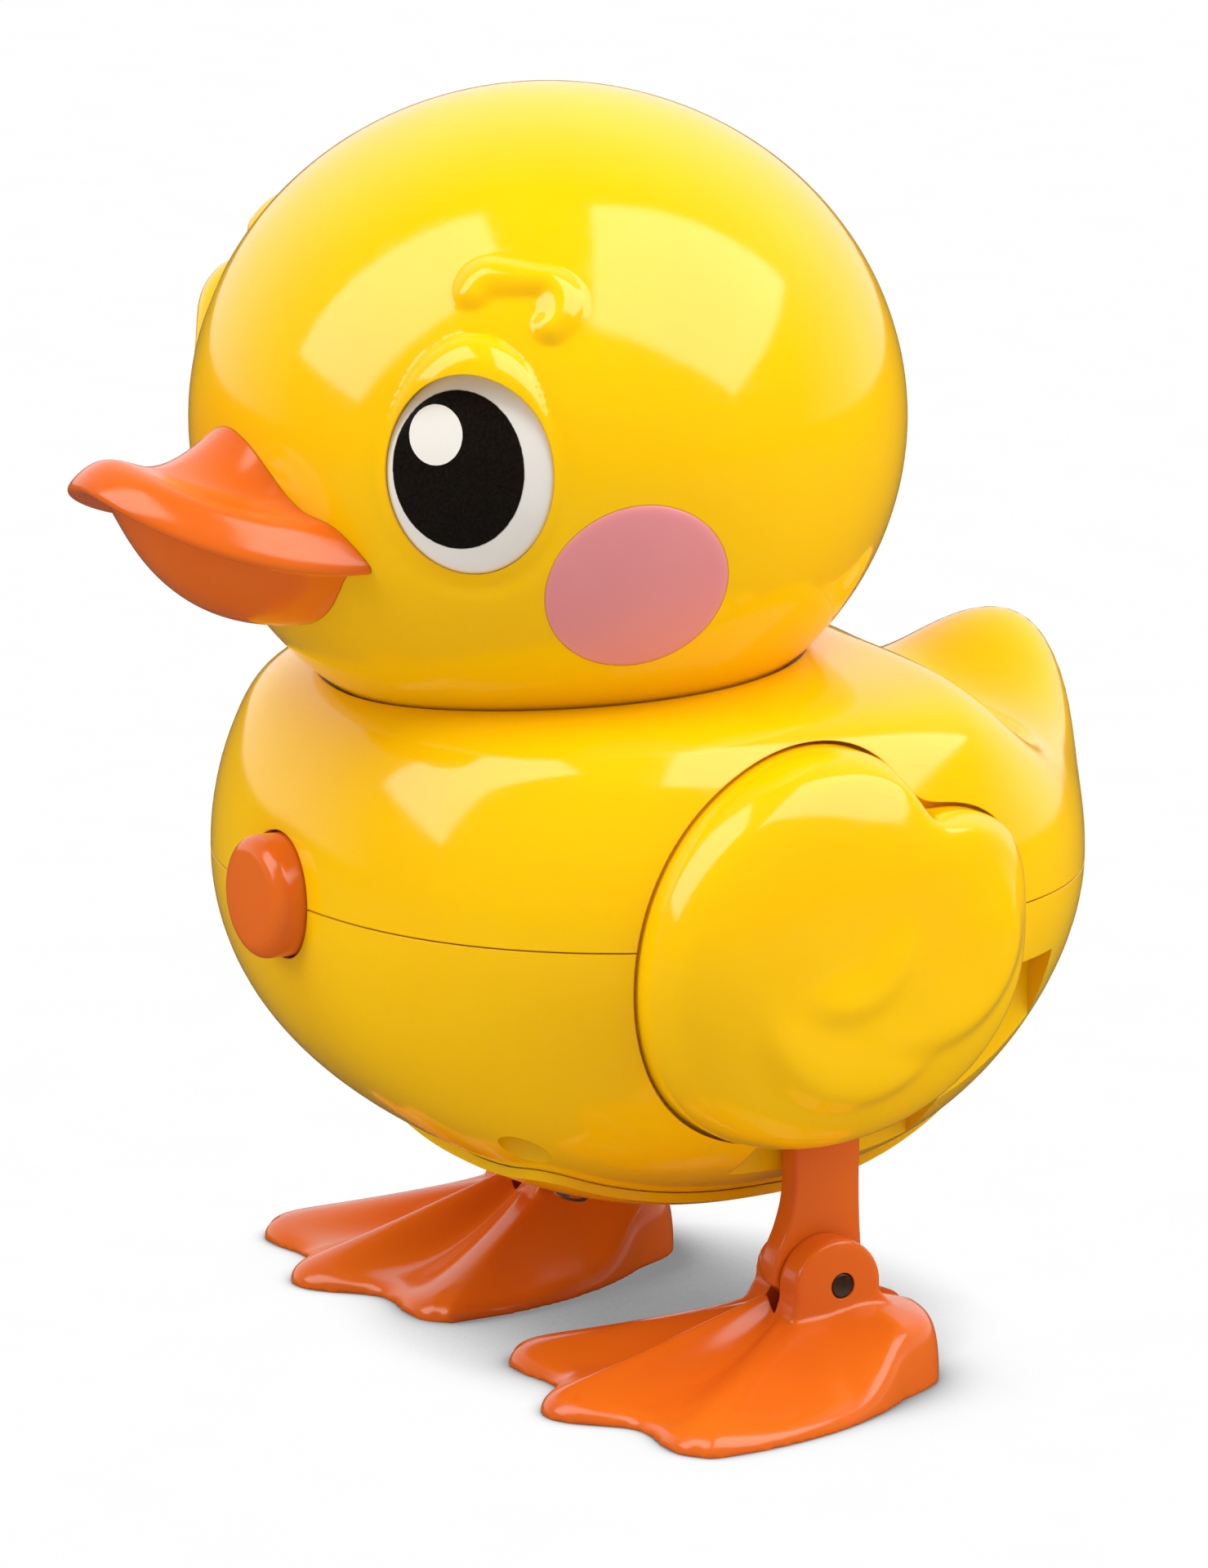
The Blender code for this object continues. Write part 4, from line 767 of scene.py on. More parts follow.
def build_belly_cover():
    cover = body_mesh(BELLY_COVER_OUTSIDE, *FINE_GRID, -1)
    window = box_mesh((-BELLY_COVER_HALF_WIDTH, BELLY_COVER_Y[0], 0.0),
                      (BELLY_COVER_HALF_WIDTH, BELLY_COVER_Y[1], 45.0 * MM))
    window = bevelled(window, 4.0 * MM, 6)
    holes = [("DIFFERENCE", belly_hole(y)) for y in BELLY_SCREWS_Y]
    inside = body_mesh(BELLY_COVER_GAP, *FINE_GRID)
    cover = combine(cover, ("INTERSECT", window), ("DIFFERENCE", inside), *holes)
    show("belly_cover", cover)


# ------------------------------------------------------------------ head

def head_radii(grow=0.0):
    return HEAD_RADIUS + grow, HEAD_RADIUS + grow, HEAD_HEIGHT + grow


def from_unit(point, radii):
    """Place on the head's ellipsoid of a point of the unit sphere."""
    return Vector((HEAD_CENTRE[i] + radii[i] * point[i] for i in range(3)))


def head_sphere(grow, segments, rings):
    bm = bmesh.new()
    bmesh.ops.create_uvsphere(bm, u_segments=segments, v_segments=rings, radius=1.0)
    for vertex in bm.verts:
        vertex.co = from_unit(vertex.co, head_radii(grow))
    return bm


def head_mesh(grow, segments, rings):
    return finish_mesh(head_sphere(grow, segments, rings), "head")


class Patch:
    """Flat frame that touches the head at a point: u runs outward, v upward, along the surface."""

    def __init__(self, centre, side):
        self.middle = Vector((side * centre.x, centre.y, centre.z))
        normal = self.middle - HEAD_CENTRE
        normal.z *= (HEAD_RADIUS / HEAD_HEIGHT) ** 2
        self.normal = normal.normalized()
        across = Vector((0.0, 0.0, 1.0)).cross(self.normal).normalized()
        self.upward = self.normal.cross(across)
        self.across = across * side

    def place(self, point):
        away = point - self.middle
        return away.dot(self.across), away.dot(self.upward)

    def on_head(self, u, v, grow):
        """The point over (u, v), `grow` outside the head."""
        start = self.middle + self.across * u + self.upward * v - HEAD_CENTRE
        radii = head_radii(grow)
        p = Vector((start[i] / radii[i] for i in range(3)))
        d = Vector((self.normal[i] / radii[i] for i in range(3)))
        b = p.dot(d)
        root = math.sqrt(max(b * b - d.dot(d) * (p.dot(p) - 1.0), 0.0))
        return HEAD_CENTRE + start + self.normal * ((root - b) / d.dot(d))


EYE_PATCH = {side: Patch(EYE_CENTRE, side) for side, _ in SIDES}
CHEEK_PATCH = {side: Patch(CHEEK_CENTRE, side) for side, _ in SIDES}

# The brow lies over the eye: two arcs (centre, radius, start and end angle) joined by a straight bridge,
# with a soft lobe on each arc. Places are across and up from the eye's middle.
BROW_FRONT_ARC = ((1.3 * MM, 19.4 * MM), 2.35 * MM, 163.0, 90.0)
BROW_REAR_ARC = ((6.7 * MM, 18.7 * MM), 2.75 * MM, 95.0, -50.0)
BROW_ARC_STEPS = 12
BROW_LOBES = (Vector((0.5, 21.5)) * MM, Vector((9.3, 19.1)) * MM)
BROW_LOBE_REACH = 2.0 * MM
BROW_HALF_WIDTH = 2.1 * MM
BROW_LOBE_EXTRA = 0.8 * MM
BROW_HEIGHT = 1.2 * MM

LID_HEIGHT = 2.6 * MM
LID_SPREAD = 46.0
LID_INNER = 0.98
LID_REACH = 0.345
LID_REACH_SPREAD = 52.0
HOLLOW_DEPTH = 0.45 * MM
EYE_LIP = 0.12 * MM
FACE_REACH = 28.0 * MM


def brow_line():
    """Points along the brow's middle on the left of the head, each with the half-width there."""
    line = []
    for u, v in arc(*BROW_FRONT_ARC, BROW_ARC_STEPS) + arc(*BROW_REAR_ARC, BROW_ARC_STEPS):
        lobe = sum(bell((Vector((u, v)) - middle).length, BROW_LOBE_REACH) for middle in BROW_LOBES)
        line.append((EYE_PATCH[1.0].on_head(u, v, 0.0), BROW_HALF_WIDTH + BROW_LOBE_EXTRA * lobe))
    return line


BROW = brow_line()


def brow_share(point):
    """Distance from the brow's middle line as a share of its half-width."""
    best = math.inf
    for (a, start), (b, end) in zip(BROW, BROW[1:]):
        along = b - a
        share = min(max((point - a).dot(along) / along.length_squared, 0.0), 1.0)
        best = min(best, (point - a - along * share).length / (start + (end - start) * share))
    return best


def face_relief(point):
    """How far the face stands out of the plain head: brow, eyelid and the soft hollow about the eye."""
    local = Vector((abs(point.x), point.y, point.z))
    if (local - EYE_CENTRE).length > FACE_REACH:
        return 0.0
    relief = 0.0
    brow = brow_share(local)
    if brow < 1.0:
        relief += BROW_HEIGHT * (1.0 - brow ** 2) ** 1.2
    u, v = EYE_PATCH[1.0].place(local)
    across, rise = u / EYE_HALF_WIDTH, v / EYE_HALF_HEIGHT
    reach = math.hypot(across, rise)
    lean = abs(math.degrees(math.atan2(rise, across)) - 90.0)
    lean = min(lean, 360.0 - lean)
    rim = 1.0 + LID_REACH * bell(lean, LID_REACH_SPREAD)
    share = max(reach - LID_INNER, 0.0) / (rim - LID_INNER)
    if share < 1.0:
        relief += LID_HEIGHT * bell(lean, LID_SPREAD, 2.4) * (1.0 - share ** 2) ** 0.7
    low = bell(lean - 180.0, 95.0)
    relief -= HOLLOW_DEPTH * low * bell(reach - 1.14, 0.10)
    relief += EYE_LIP * low * bell(reach - 1.0, 0.05)
    return relief


def oval_rings(patch, half_width, half_height, levels):
    """Rings on the head: each level is (reach, grow)."""
    count = 96
    rings = []
    for reach, grow in levels:
        if reach < 1e-6:
            rings.append([patch.on_head(0.0, 0.0, grow)])
            continue
        ring = []
        for i in range(count):
            angle = 2.0 * math.pi * i / count
            u, v = half_width * reach * math.cos(angle), half_height * reach * math.sin(angle)
            ring.append(patch.on_head(u, v, grow))
        rings.append(ring)
    return rings


def oval_seat(patch, half_width, half_height, depth):
    """Cutter for an insert's seat: its floor follows the head, and its top stands clear."""
    levels = [(k / 10.0, -depth) for k in range(11)] + [(1.0, 6.0 * MM), (0.0, 6.0 * MM)]
    return ring_mesh("seat", oval_rings(patch, half_width, half_height, levels))


def build_head_shell():
    bm = head_sphere(0.0, *HEAD_GRID)
    for reach in FACE_GRID_REACHES:
        near = []
        for edge in bm.edges:
            middle = (edge.verts[0].co + edge.verts[1].co) / 2.0
            away = Vector((abs(middle.x), middle.y, middle.z - FACE_GRID_RAISE)) - EYE_CENTRE
            if away.length < reach:
                near.append(edge)
        bmesh.ops.subdivide_edges(bm, edges=near, cuts=1, use_grid_fill=True)
    radii = head_radii()
    for vertex in bm.verts:
        away = vertex.co - HEAD_CENTRE
        unit = Vector((away[i] / radii[i] for i in range(3))).normalized()
        ground = from_unit(unit, radii)
        normal = Vector((unit[i] / radii[i] for i in range(3))).normalized()
        vertex.co = ground + normal * face_relief(ground)
    cutters = [head_mesh(-WALL, *CORE_GRID)]
    cutters.append(z_rod_mesh(NECK_RADIUS + GAP, 0.0, HEAD_CENTRE.y, 65.0 * MM, 82.0 * MM, 48))
    for side, _ in SIDES:
        cutters.append(oval_seat(EYE_PATCH[side], EYE_HALF_WIDTH, EYE_HALF_HEIGHT, EYE_RECESS))
        cutters.append(oval_seat(CHEEK_PATCH[side], CHEEK_RADIUS, CHEEK_RADIUS, CHEEK_RECESS))
    show("head_shell", cut(finish_mesh(bm, "head_shell"), *cutters))


# Printed ovals: across and up from the eye's middle, half-width, half-height and raggedness of the edge.
PUPIL = (-1.2 * MM, 0.5 * MM, 7.75 * MM, 9.1 * MM, 0.03)
GLINT = (-3.75 * MM, 4.5 * MM, 3.2 * MM, 3.4 * MM, 0.04)
PRINT_EDGE = 0.015


def printed_oval(tree, patch, ragged, u, v, half_width, half_height, wobble):
    """Mask that is 1 inside an oval on the eye and 0 outside."""
    place = tree.nodes.new("ShaderNodeTexCoord")
    centre = patch.on_head(u, v, 0.0) + ORIGIN_SHIFT
    away = vector_step(tree, "SUBTRACT", place.outputs["Object"], centre)
    squares = []
    for axis in (patch.across / half_width, patch.upward / half_height):
        share = vector_step(tree, "DOT_PRODUCT", away, axis)
        squares.append(calculated(tree, "POWER", share, 2.0))
    total = calculated(tree, "ADD", *squares)
    drift = calculated(tree, "MULTIPLY", ragged.outputs[0], wobble)
    uneven = calculated(tree, "ADD", drift, total)
    edge = 1.0 + wobble / 2.0
    return ranged(tree, uneven, 1.0, 0.0, edge - PRINT_EDGE, edge + PRINT_EDGE)


def eye_material(side, word):
    """White insert with a pad-printed pupil and glint, slightly uneven at their edges."""
    material, tree, shader = node_material("printed_eye_" + word)
    patch = EYE_PATCH[side]
    ragged = textured(tree, 1500.0, 3.0)
    speckle = textured(tree, 2600.0, 4.0)
    ink = mixed(tree, ranged(tree, speckle.outputs[0], 0.0, 1.0, 0.35, 0.75),
                (0.0065, 0.0045, 0.003), (0.013, 0.0095, 0.007))
    drift = textured(tree, 120.0, 3.0)
    enamel = mixed(tree, ranged(tree, drift.outputs[0], 0.0, 1.0),
                   (0.84, 0.80, 0.74), (0.77, 0.73, 0.66))
    pupil = printed_oval(tree, patch, ragged, *PUPIL)
    glint = printed_oval(tree, patch, ragged, *GLINT)
    colour = mixed(tree, glint, mixed(tree, pupil, enamel, ink), (0.86, 0.82, 0.75))
    tree.links.new(colour, shader.inputs["Base Color"])
    tree.links.new(ranged(tree, speckle.outputs[0], 0.16, 0.24), shader.inputs["Roughness"])
    tree.links.new(ranged(tree, pupil, 0.5, 0.14, 0.0, 1.0), shader.inputs["Specular IOR Level"])
    bump = bumped(tree, pupil, 0.2, 0.05 * MM)
    tree.links.new(bump.outputs["Normal"], shader.inputs["Normal"])
    return material


def crown_levels(steps, top, fall):
    """Levels of a domed face, from its middle to just inside its edge."""
    return [(k / steps, (top - fall * (k / steps) ** 2) * MM) for k in range(steps)]


EYE_LEVELS = crown_levels(24, 0.55, 0.85)
EYE_LEVELS += [(0.98, -0.30 * MM), (0.996, -0.42 * MM)]
EYE_LEVELS += [(reach, -1.2 * MM) for reach in (0.996, 0.5, 0.0)]
CHEEK_LEVELS = crown_levels(20, 0.45, 0.25)
CHEEK_LEVELS += [(0.975, 0.13 * MM), (0.992, 0.05 * MM), (1.0, -0.05 * MM)]
CHEEK_LEVELS += [(reach, -0.33 * MM) for reach in (1.0, 0.5, 0.0)]


def build_inserts():
    for side, word in SIDES:
        rings = oval_rings(EYE_PATCH[side], EYE_HALF_WIDTH, EYE_HALF_HEIGHT, EYE_LEVELS)
        show(word + "_eye", ring_mesh("eye", rings), eye_material(side, word))
        rings = oval_rings(CHEEK_PATCH[side], CHEEK_RADIUS, CHEEK_RADIUS, CHEEK_LEVELS)
        show(word + "_cheek", ring_mesh("cheek", rings), sharp=60.0)


def plan_reach(dx, dy):
    """Share of the way to the bill's edge, and how far the place is to the side rather than ahead."""
    reach = min(math.hypot(dx, dy), 1.0)
    return reach, abs(dx) / reach if reach > 1e-6 else 0.0


def upper_bill_z(dx, dy, face):
    """Height of the upper bill over a point of its unit plan; face 1 is the top, -1 the underside."""
    reach, side = plan_reach(dx, dy)
    ridge = BILL_RIDGE_HEIGHT * bell(dx * BILL_HALF_WIDTH, BILL_RIDGE_WIDTH, 3.16)
    ridge *= bell(max(-dy, 0.0), BILL_RIDGE_LENGTH, 2.2)
    rim = BILL_RIM_HEIGHT * bell(reach - 0.87, 0.17)
    droop = BILL_DROOP * side ** 1.6 * reach ** 1.25
    half = BILL_HALF_THICKNESS + (0.8 + 0.5 * side) * MM * bell(reach - 0.88, 0.15)
    edge = max(1.0 - reach ** 6, 0.0) ** 0.5
    return BILL_TOP_Z + ridge + rim - droop - half + face * half * edge


def lower_bill_z(dx, dy, face):
    """The lower bill closes against the upper one and hangs below it as a bowl."""
    reach, side = plan_reach(dx, dy)
    lid = upper_bill_z(dx * LOWER_BILL_WIDTH, dy * LOWER_BILL_LENGTH, -1.0) - BILL_GAP
    if face > 0.0:
        return lid
    bowl = LOWER_BILL_Z + (13.0 - 4.0 * side ** 2) * MM * reach ** 2.6
    return lid - max(lid - bowl, 0.0) * max(1.0 - reach ** 12, 0.0) ** 0.5


def bill_mesh(upper):
    bm = bmesh.new()
    bmesh.ops.create_uvsphere(bm, u_segments=128, v_segments=72, radius=1.0)
    height = upper_bill_z if upper else lower_bill_z
    wide = 1.0 if upper else LOWER_BILL_WIDTH
    long = 1.0 if upper else LOWER_BILL_LENGTH
    for vertex in bm.verts:
        dx, dy, dz = vertex.co
        x = BILL_HALF_WIDTH * dx * wide
        y = BILL_BASE_Y + BILL_LENGTH * dy * long
        vertex.co = Vector((x, y, height(dx, dy, 1.0 if dz >= 0.0 else -1.0)))
    return cut(finish_mesh(bm, "bill"), head_mesh(0.08 * MM, *SEAT_GRID))


# ------------------------------------------------------------------ wings

# Feather lobes: centre aft of and above the wing's middle, radius, lean in degrees and height, in mm.
FEATHERS = ((-0.8, -3.0, 13.0, 255.0, 1.7), (8.0, 3.0, 13.2, 322.0, 1.6), (-3.0, 3.5, 8.5, 300.0, 1.0))


def feather_relief(y, z):
    """Low lobes on the lower rear of the wing; each is a disc that stands out at its lower edge."""
    relief = 0.0
    for cy, cz, radius, lean, height in FEATHERS:
        away_y = (y - WING_Y) / MM - cy
        away_z = (z - WING_Z) / MM - cz
        away = math.hypot(away_y, away_z)
        if away > radius + 3.0 or away < 1e-6:
            continue
        angle = math.degrees(math.atan2(away_z, away_y)) - lean
        angle = (angle + 180.0) % 360.0 - 180.0
        facing = bell(angle, 62.0, 4)
        ramp = ease(away / radius) ** 1.5
        drop = 1.0 - ease((away - radius + 1.6) / 3.2)
        relief += height * MM * facing * ramp * drop
    return relief


def wing_rims():
    """Angle, reach and height of the body beneath, round the wing's rim."""
    rims = []
    for i in range(WING_STEPS):
        angle = math.radians(360.0 * i / WING_STEPS)
        turn = math.degrees(angle)
        reach = wing_reach(turn) - NOTCH_GAP * bell(turn - WING_SCALLOP_ANGLE, NOTCH_SPREAD)
        y, z = WING_Y + reach * math.cos(angle), WING_Z + reach * math.sin(angle)
        rims.append((angle, reach, body_side_x(y, z) + GAP))
    return rims


def wing_dome(rims, share, inset):
    """Ring of the dome at a share of the way to the rim; inset is 0 outside and the wall inside."""
    crown = WING_CROWN_X - inset
    if share < 1e-6:
        return [Vector((crown + (0.0 if inset else feather_relief(WING_Y, WING_Z)), WING_Y, WING_Z))]
    ring = []
    for angle, reach, rim in rims:
        reach = WING_RADIUS + (reach - WING_RADIUS) * share ** 3
        y = WING_Y + (reach - inset) * share * math.cos(angle)
        z = WING_Z + (reach - inset) * share * math.sin(angle)
        lip = rim + WING_RIM_HEIGHT * (1.0 - WING_RIM_ROLL * ease((share - 0.9) * 10.0))
        x = lip + (crown - lip) * (1.0 - share ** 2.6) ** 0.5
        if not inset:
            x += feather_relief(y, z) * ease((1.0 - share) / 0.12)
        ring.append(Vector((x, y, z)))
    return ring


def wing_skirt(rims, depth, inset):
    """Ring of the straight side below the rim, which reaches into the body's seat."""
    ring = []
    for angle, reach, rim in rims:
        y = WING_Y + (reach - inset) * math.cos(angle)
        z = WING_Z + (reach - inset) * math.sin(angle)
        ring.append(Vector((rim + WING_RIM_HEIGHT * (1.0 - WING_RIM_ROLL) - depth * WING_SKIRT, y, z)))
    return ring


def wing_mesh():
    rims = wing_rims()
    shares = [math.sin(math.pi / 2.0 * k / 40.0) for k in range(41)]
    outer, inner = [], []
    for rings, inset in ((outer, 0.0), (inner, WALL)):
        rings += [wing_dome(rims, share, inset) for share in shares]
        rings += [wing_skirt(rims, depth, inset) for depth in (0.5, 1.0)]
    return ring_mesh("wing", outer + inner[::-1])


def build_wings():
    boss = x_rod_mesh(3.0 * MM, 40.0 * MM, 53.2 * MM, WING_SCREW, 32)
    pilot = x_rod_mesh(SCREW_PILOT, 30.0 * MM, 52.5 * MM, WING_SCREW, 24)
    seat = body_mesh(0.25 * MM - WING_RECESS, *FINE_GRID)
    skin = combine(wing_mesh(), ("UNION", boss), ("DIFFERENCE", seat), ("DIFFERENCE", pilot))
    show("left_wing", skin)
    show("right_wing", cut(mirrored(skin), arbor_hole(48)))


# ------------------------------------------------------------------ legs and feet

def leg_outline():
    half = LEG_WIDTH / 2.0
    points = arc(HIP, 5.6 * MM, 215.0, -35.0, 36)
    rear = [(half + 0.35 * MM, 37.0 * MM), (half + 0.3 * MM, 30.0 * MM), (half + 0.2 * MM, 24.0 * MM),
            (half + 0.3 * MM, 19.0 * MM), (half + 0.6 * MM, ANKLE_Z + 2.0 * MM)]
    front = [(-5.6 * MM, 11.3 * MM), (-6.5 * MM, 12.2 * MM), (-6.7 * MM, 14.0 * MM), (-6.0 * MM, 16.2 * MM),
             (-4.8 * MM, 19.0 * MM), (-3.9 * MM, 23.0 * MM), (-3.9 * MM, 30.0 * MM), (-4.4 * MM, 37.0 * MM)]
    points += smooth_run(rear)
    points += arc(ANKLE, 4.6 * MM, 0.0, -140.0, 20)
    points += smooth_run(front)
    return points


def build_legs():
    x0, x1 = LEG_X - LEG_THICKNESS / 2, LEG_X + LEG_THICKNESS / 2
    leg = bevelled(plate_mesh(leg_outline(), x0, x1), 0.45 * MM, 3, 50.0)
    ends = (20.0 * MM, 45.0 * MM)
    leg = cut(leg, x_rod_mesh(SHAFT_FIT, *ends, HIP), x_rod_mesh(ANKLE_BORE, *ends, ANKLE),
              x_rod_mesh(SPRING_POCKET, ends[0], x0 + 1.9 * MM, ANKLE, 48))
    show_pair("leg", leg, 30.0)


WEB_ANGLE = 40.0


def foot_reach(turn):
    """Outline of the sole about the ankle; the angle (degrees) is measured from straight ahead."""
    if turn < WEB_ANGLE:
        return (34.0 + 2.6 * math.cos(math.radians(turn * 10.0))) * MM
    side = math.radians(turn - WEB_ANGLE)
    heel = 2.4 * ease((turn - 100.0) / 40.0)
    return (11.2 + 25.4 * bell(side, 0.62, 1.08) + heel) * MM


def foot_height(turn, share):
    """Height of the foot's top at an angle and a share of the way to the edge."""
    middle, outer = bell(turn, 8.0), bell(turn - 37.0, 9.0)
    flank = ease((turn - 44.0) / 50.0)
    rear = ease((turn - 70.0) / 45.0)
    edge = (1.9 + 0.6 * max(middle, outer) + 5.4 * rear) * MM
    top = (13.0 - 2.6 * outer - 2.6 * rear * (1.0 - share)) * MM
    bend = 1.55 - 0.5 * middle - 0.45 * outer - 0.55 * flank
    rise = (top - edge) * max(1.0 - share, 0.0) ** bend
    web = bell(turn - 18.5, 9.0) * 1.2 * MM * math.sin(math.pi * min(share * 1.05, 1.0))
    return edge + rise - web


def foot_mesh():
    count = 180
    shares = [k / 40.0 for k in range(1, 38)] + [0.95, 0.97, 0.985, 0.995, 1.0]
    rings = [[Vector((LEG_X, 0.0, foot_height(0.0, 0.0)))]]
    for share in shares:
        ring = []
        for i in range(count):
            angle = 2.0 * math.pi * i / count
            turn = math.degrees(min(angle, 2.0 * math.pi - angle))
            reach = foot_reach(turn) * share
            z = foot_height(turn, share) * (1.0 - share ** 26) ** 0.5
            ring.append(Vector((LEG_X + reach * math.sin(angle), -reach * math.cos(angle), z)))
        rings.append(ring)
    rings[-1] = [Vector((p.x, p.y, 0.0)) for p in rings[-1]]
    return ring_mesh("foot", rings + [[Vector((LEG_X, 0.0, 0.0))]])


def ear_outline(radius):
    """Side view of a lug that holds the ankle pin."""
    points = arc((-0.5 * MM, ANKLE_Z - 0.2 * MM), radius, 190.0, -10.0, 40)
    base = [(7.6, 8.6), (10.6, 7.8), (10.9, 1.0), (-8.0, 1.0), (-7.2, 7.5)]
    return points + [(y * MM, z * MM) for y, z in base]


def seated(mesh):
    """Sole made exactly flat on the ground."""
    bm = bmesh.new()
    bm.from_mesh(mesh)
    for vertex in bm.verts:
        if vertex.co.z < 0.06 * MM:
            vertex.co.z = 0.0
    return finish_mesh(bm, "foot")


SLOT = (LEG_X - LEG_THICKNESS / 2 - GAP, LEG_X + LEG_THICKNESS / 2 + GAP)
EARS = (SLOT[0] - EAR_THICKNESS, SLOT[1] + EAR_THICKNESS)
FOOT_VOXEL = 0.34 * MM
FOOT_SMOOTHING = 9


def build_feet():
    near_ear = bevelled(plate_mesh(ear_outline(5.8 * MM), SLOT[1] - 0.5 * MM, EARS[1]), 1.3 * MM, 4, 30.0)
    far_ear = bevelled(plate_mesh(ear_outline(4.3 * MM), EARS[0], SLOT[0] + 0.5 * MM), 1.0 * MM, 4, 30.0)
    skin = combine(foot_mesh(), ("UNION", near_ear), ("UNION", far_ear))
    slot_box = box_mesh((SLOT[0], -6.9 * MM, 5.6 * MM), (SLOT[1], 20.0 * MM, 30.0 * MM))
    bore = x_rod_mesh(ANKLE_BORE, EARS[0] - 5.0 * MM, EARS[1] + 5.0 * MM, ANKLE, 48)
    floor = box_mesh((-10.0 * MM, -60.0 * MM, -10.0 * MM), (80.0 * MM, 60.0 * MM, 0.05 * MM))
    foot = cut(melted(skin, FOOT_VOXEL, FOOT_SMOOTHING), slot_box, bore, floor)
    show_pair("foot", seated(foot), 45.0)


def build_ankles():
    length = EARS[1] - EARS[0] - 0.1 * MM
    radius = ANKLE_PIN_RADIUS
    profile = [(0.0, 0.12 * MM), (radius * 0.5, 0.08 * MM), (radius * 0.85, 0.0), (radius, 0.18 * MM)]
    profile += [(r, length - h) for r, h in profile[::-1]]
    for side, word in SIDES:
        start = (side * (EARS[0] + 0.05 * MM), *ANKLE)
        show(word + "_ankle_pin", turned_mesh("pin", profile, start, (side, 0, 0), 48))
        ends = [(side * (SLOT[0] + away * MM), *ANKLE) for away in (0.5, 1.75)]
        show(word + "_ankle_spring", coil_mesh(2.4 * MM, 0.22 * MM, 2.4, *ends), SPRING_STEEL)


# ------------------------------------------------------------------ button, knob, screws, springs

def build_button():
    """Domed button with a flange that stops it in the shells, and a stem behind."""
    face = -BUTTON_Y
    lip = -BUTTON_LIP_Y
    flat = BUTTON_RADIUS - BUTTON_EDGE
    profile = [(0.0, face), (flat * 0.5, face - 0.04 * MM), (flat, face - 0.16 * MM)]
    for k in range(1, 9):
        angle = math.pi / 2.0 * k / 8.0
        fall = 0.16 * MM + 1.9 * MM * (1.0 - math.cos(angle))
        profile.append((flat + BUTTON_EDGE * math.sin(angle), face - fall))
    outside, back = BUTTON_RADIUS + BUTTON_LIP, lip - BUTTON_FLANGE
    profile += [(BUTTON_RADIUS, lip), (outside, lip), (outside, back), (BUTTON_STEM_RADIUS, back)]
    profile += [(BUTTON_STEM_RADIUS, BUTTON_STEM_END), (1.0 * MM, BUTTON_STEM_END),
                (1.0 * MM, BUTTON_TIP), (0.0, BUTTON_TIP)]
    show("chest_button", turned_mesh("button", profile, (0.0, 0.0, BUTTON_Z), (0, -1, 0), 96))


def build_button_spring():
    """The return spring, which rides on the body, with a mesh of its own."""
    start = Vector((0.0, 0.45 * MM + BUTTON_LIP_Y + BUTTON_FLANGE, BUTTON_Z))
    coil = coil_mesh(3.6 * MM, 0.15 * MM, 3.0, start, start + Vector((0.0, 2.1 * MM, 0.0)))
    spring = show("button_spring", coil, SPRING_STEEL)
    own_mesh(spring)


def build_knob():
    """Round knob with eight finger grooves, bored for the winding arbor."""
    def grip(angle, height):
        return 1.0 - 0.075 * (0.5 + 0.5 * math.cos(8.0 * angle)) ** 2

    profile = [(0.0, 6.5), (5.0, 6.45), (6.6, 6.25), (7.4, 5.8), (7.8, 5.0), (8.0, 4.0),
               (8.0, 1.2), (7.8, 0.5), (7.3, 0.1), (6.6, 0.0), (0.0, 0.0)]
    profile = [(radius * MM, height * MM) for radius, height in profile]
    knob = turned_mesh("knob", profile, (-57.0 * MM, *ARBOR_A), (-1, 0, 0), 192, grip)
    show("winding_knob", cut(knob, x_rod_mesh(SHAFT_FIT, -62.3 * MM, -50.0 * MM, ARBOR_A, 48)))


SCREW_HEAD = 1.5 * MM
SCREW_PITCH = 0.5 * MM


def long_axis(points, middle):
    """Direction in which a turned piece's vertices spread the most."""
    spread = Matrix(((0.0,) * 3,) * 3)
    for point in points:
        away = (point - middle) / MM
        for i in range(3):
            for k in range(3):
                spread[i][k] += away[i] * away[k]
    axis = Vector((0.31, 0.42, 0.53))
    for _ in range(60):
        axis = (spread @ axis).normalized()
    return axis


def screw_profile(head_radius, shank, length):
    """Pan head and threaded shank as (radius, height) pairs, from the top of the head down."""
    profile = [(0.0, 0.0), (head_radius * 0.45, -0.03 * MM), (head_radius * 0.72, -0.16 * MM),
               (head_radius * 0.9, -0.42 * MM), (head_radius, -0.85 * MM),
               (head_radius, -SCREW_HEAD), (shank, -SCREW_HEAD)]
    at = SCREW_HEAD + 0.4 * MM
    while at < length - 1.0 * MM:
        root = shank * 0.8
        profile += [(shank, -at), (root, -at - SCREW_PITCH * 0.35), (root, -at - SCREW_PITCH * 0.65)]
        at += SCREW_PITCH
    return profile + [(shank, -at), (shank * 0.35, -length), (0.0, -length)]


def cross_recess(head_radius, place):
    """The two bars of a cross recess in a screw's head."""
    half, bars = head_radius * 0.52, []
    for quarter in (0.0, math.pi / 2.0):
        bar = box_mesh((-half, -0.26 * MM, -0.85 * MM), (half, 0.26 * MM, 1.0 * MM))
        bar.transform(place @ Matrix.Rotation(quarter + 0.4, 4, "Z"))
        bars.append(bar)
    return bars


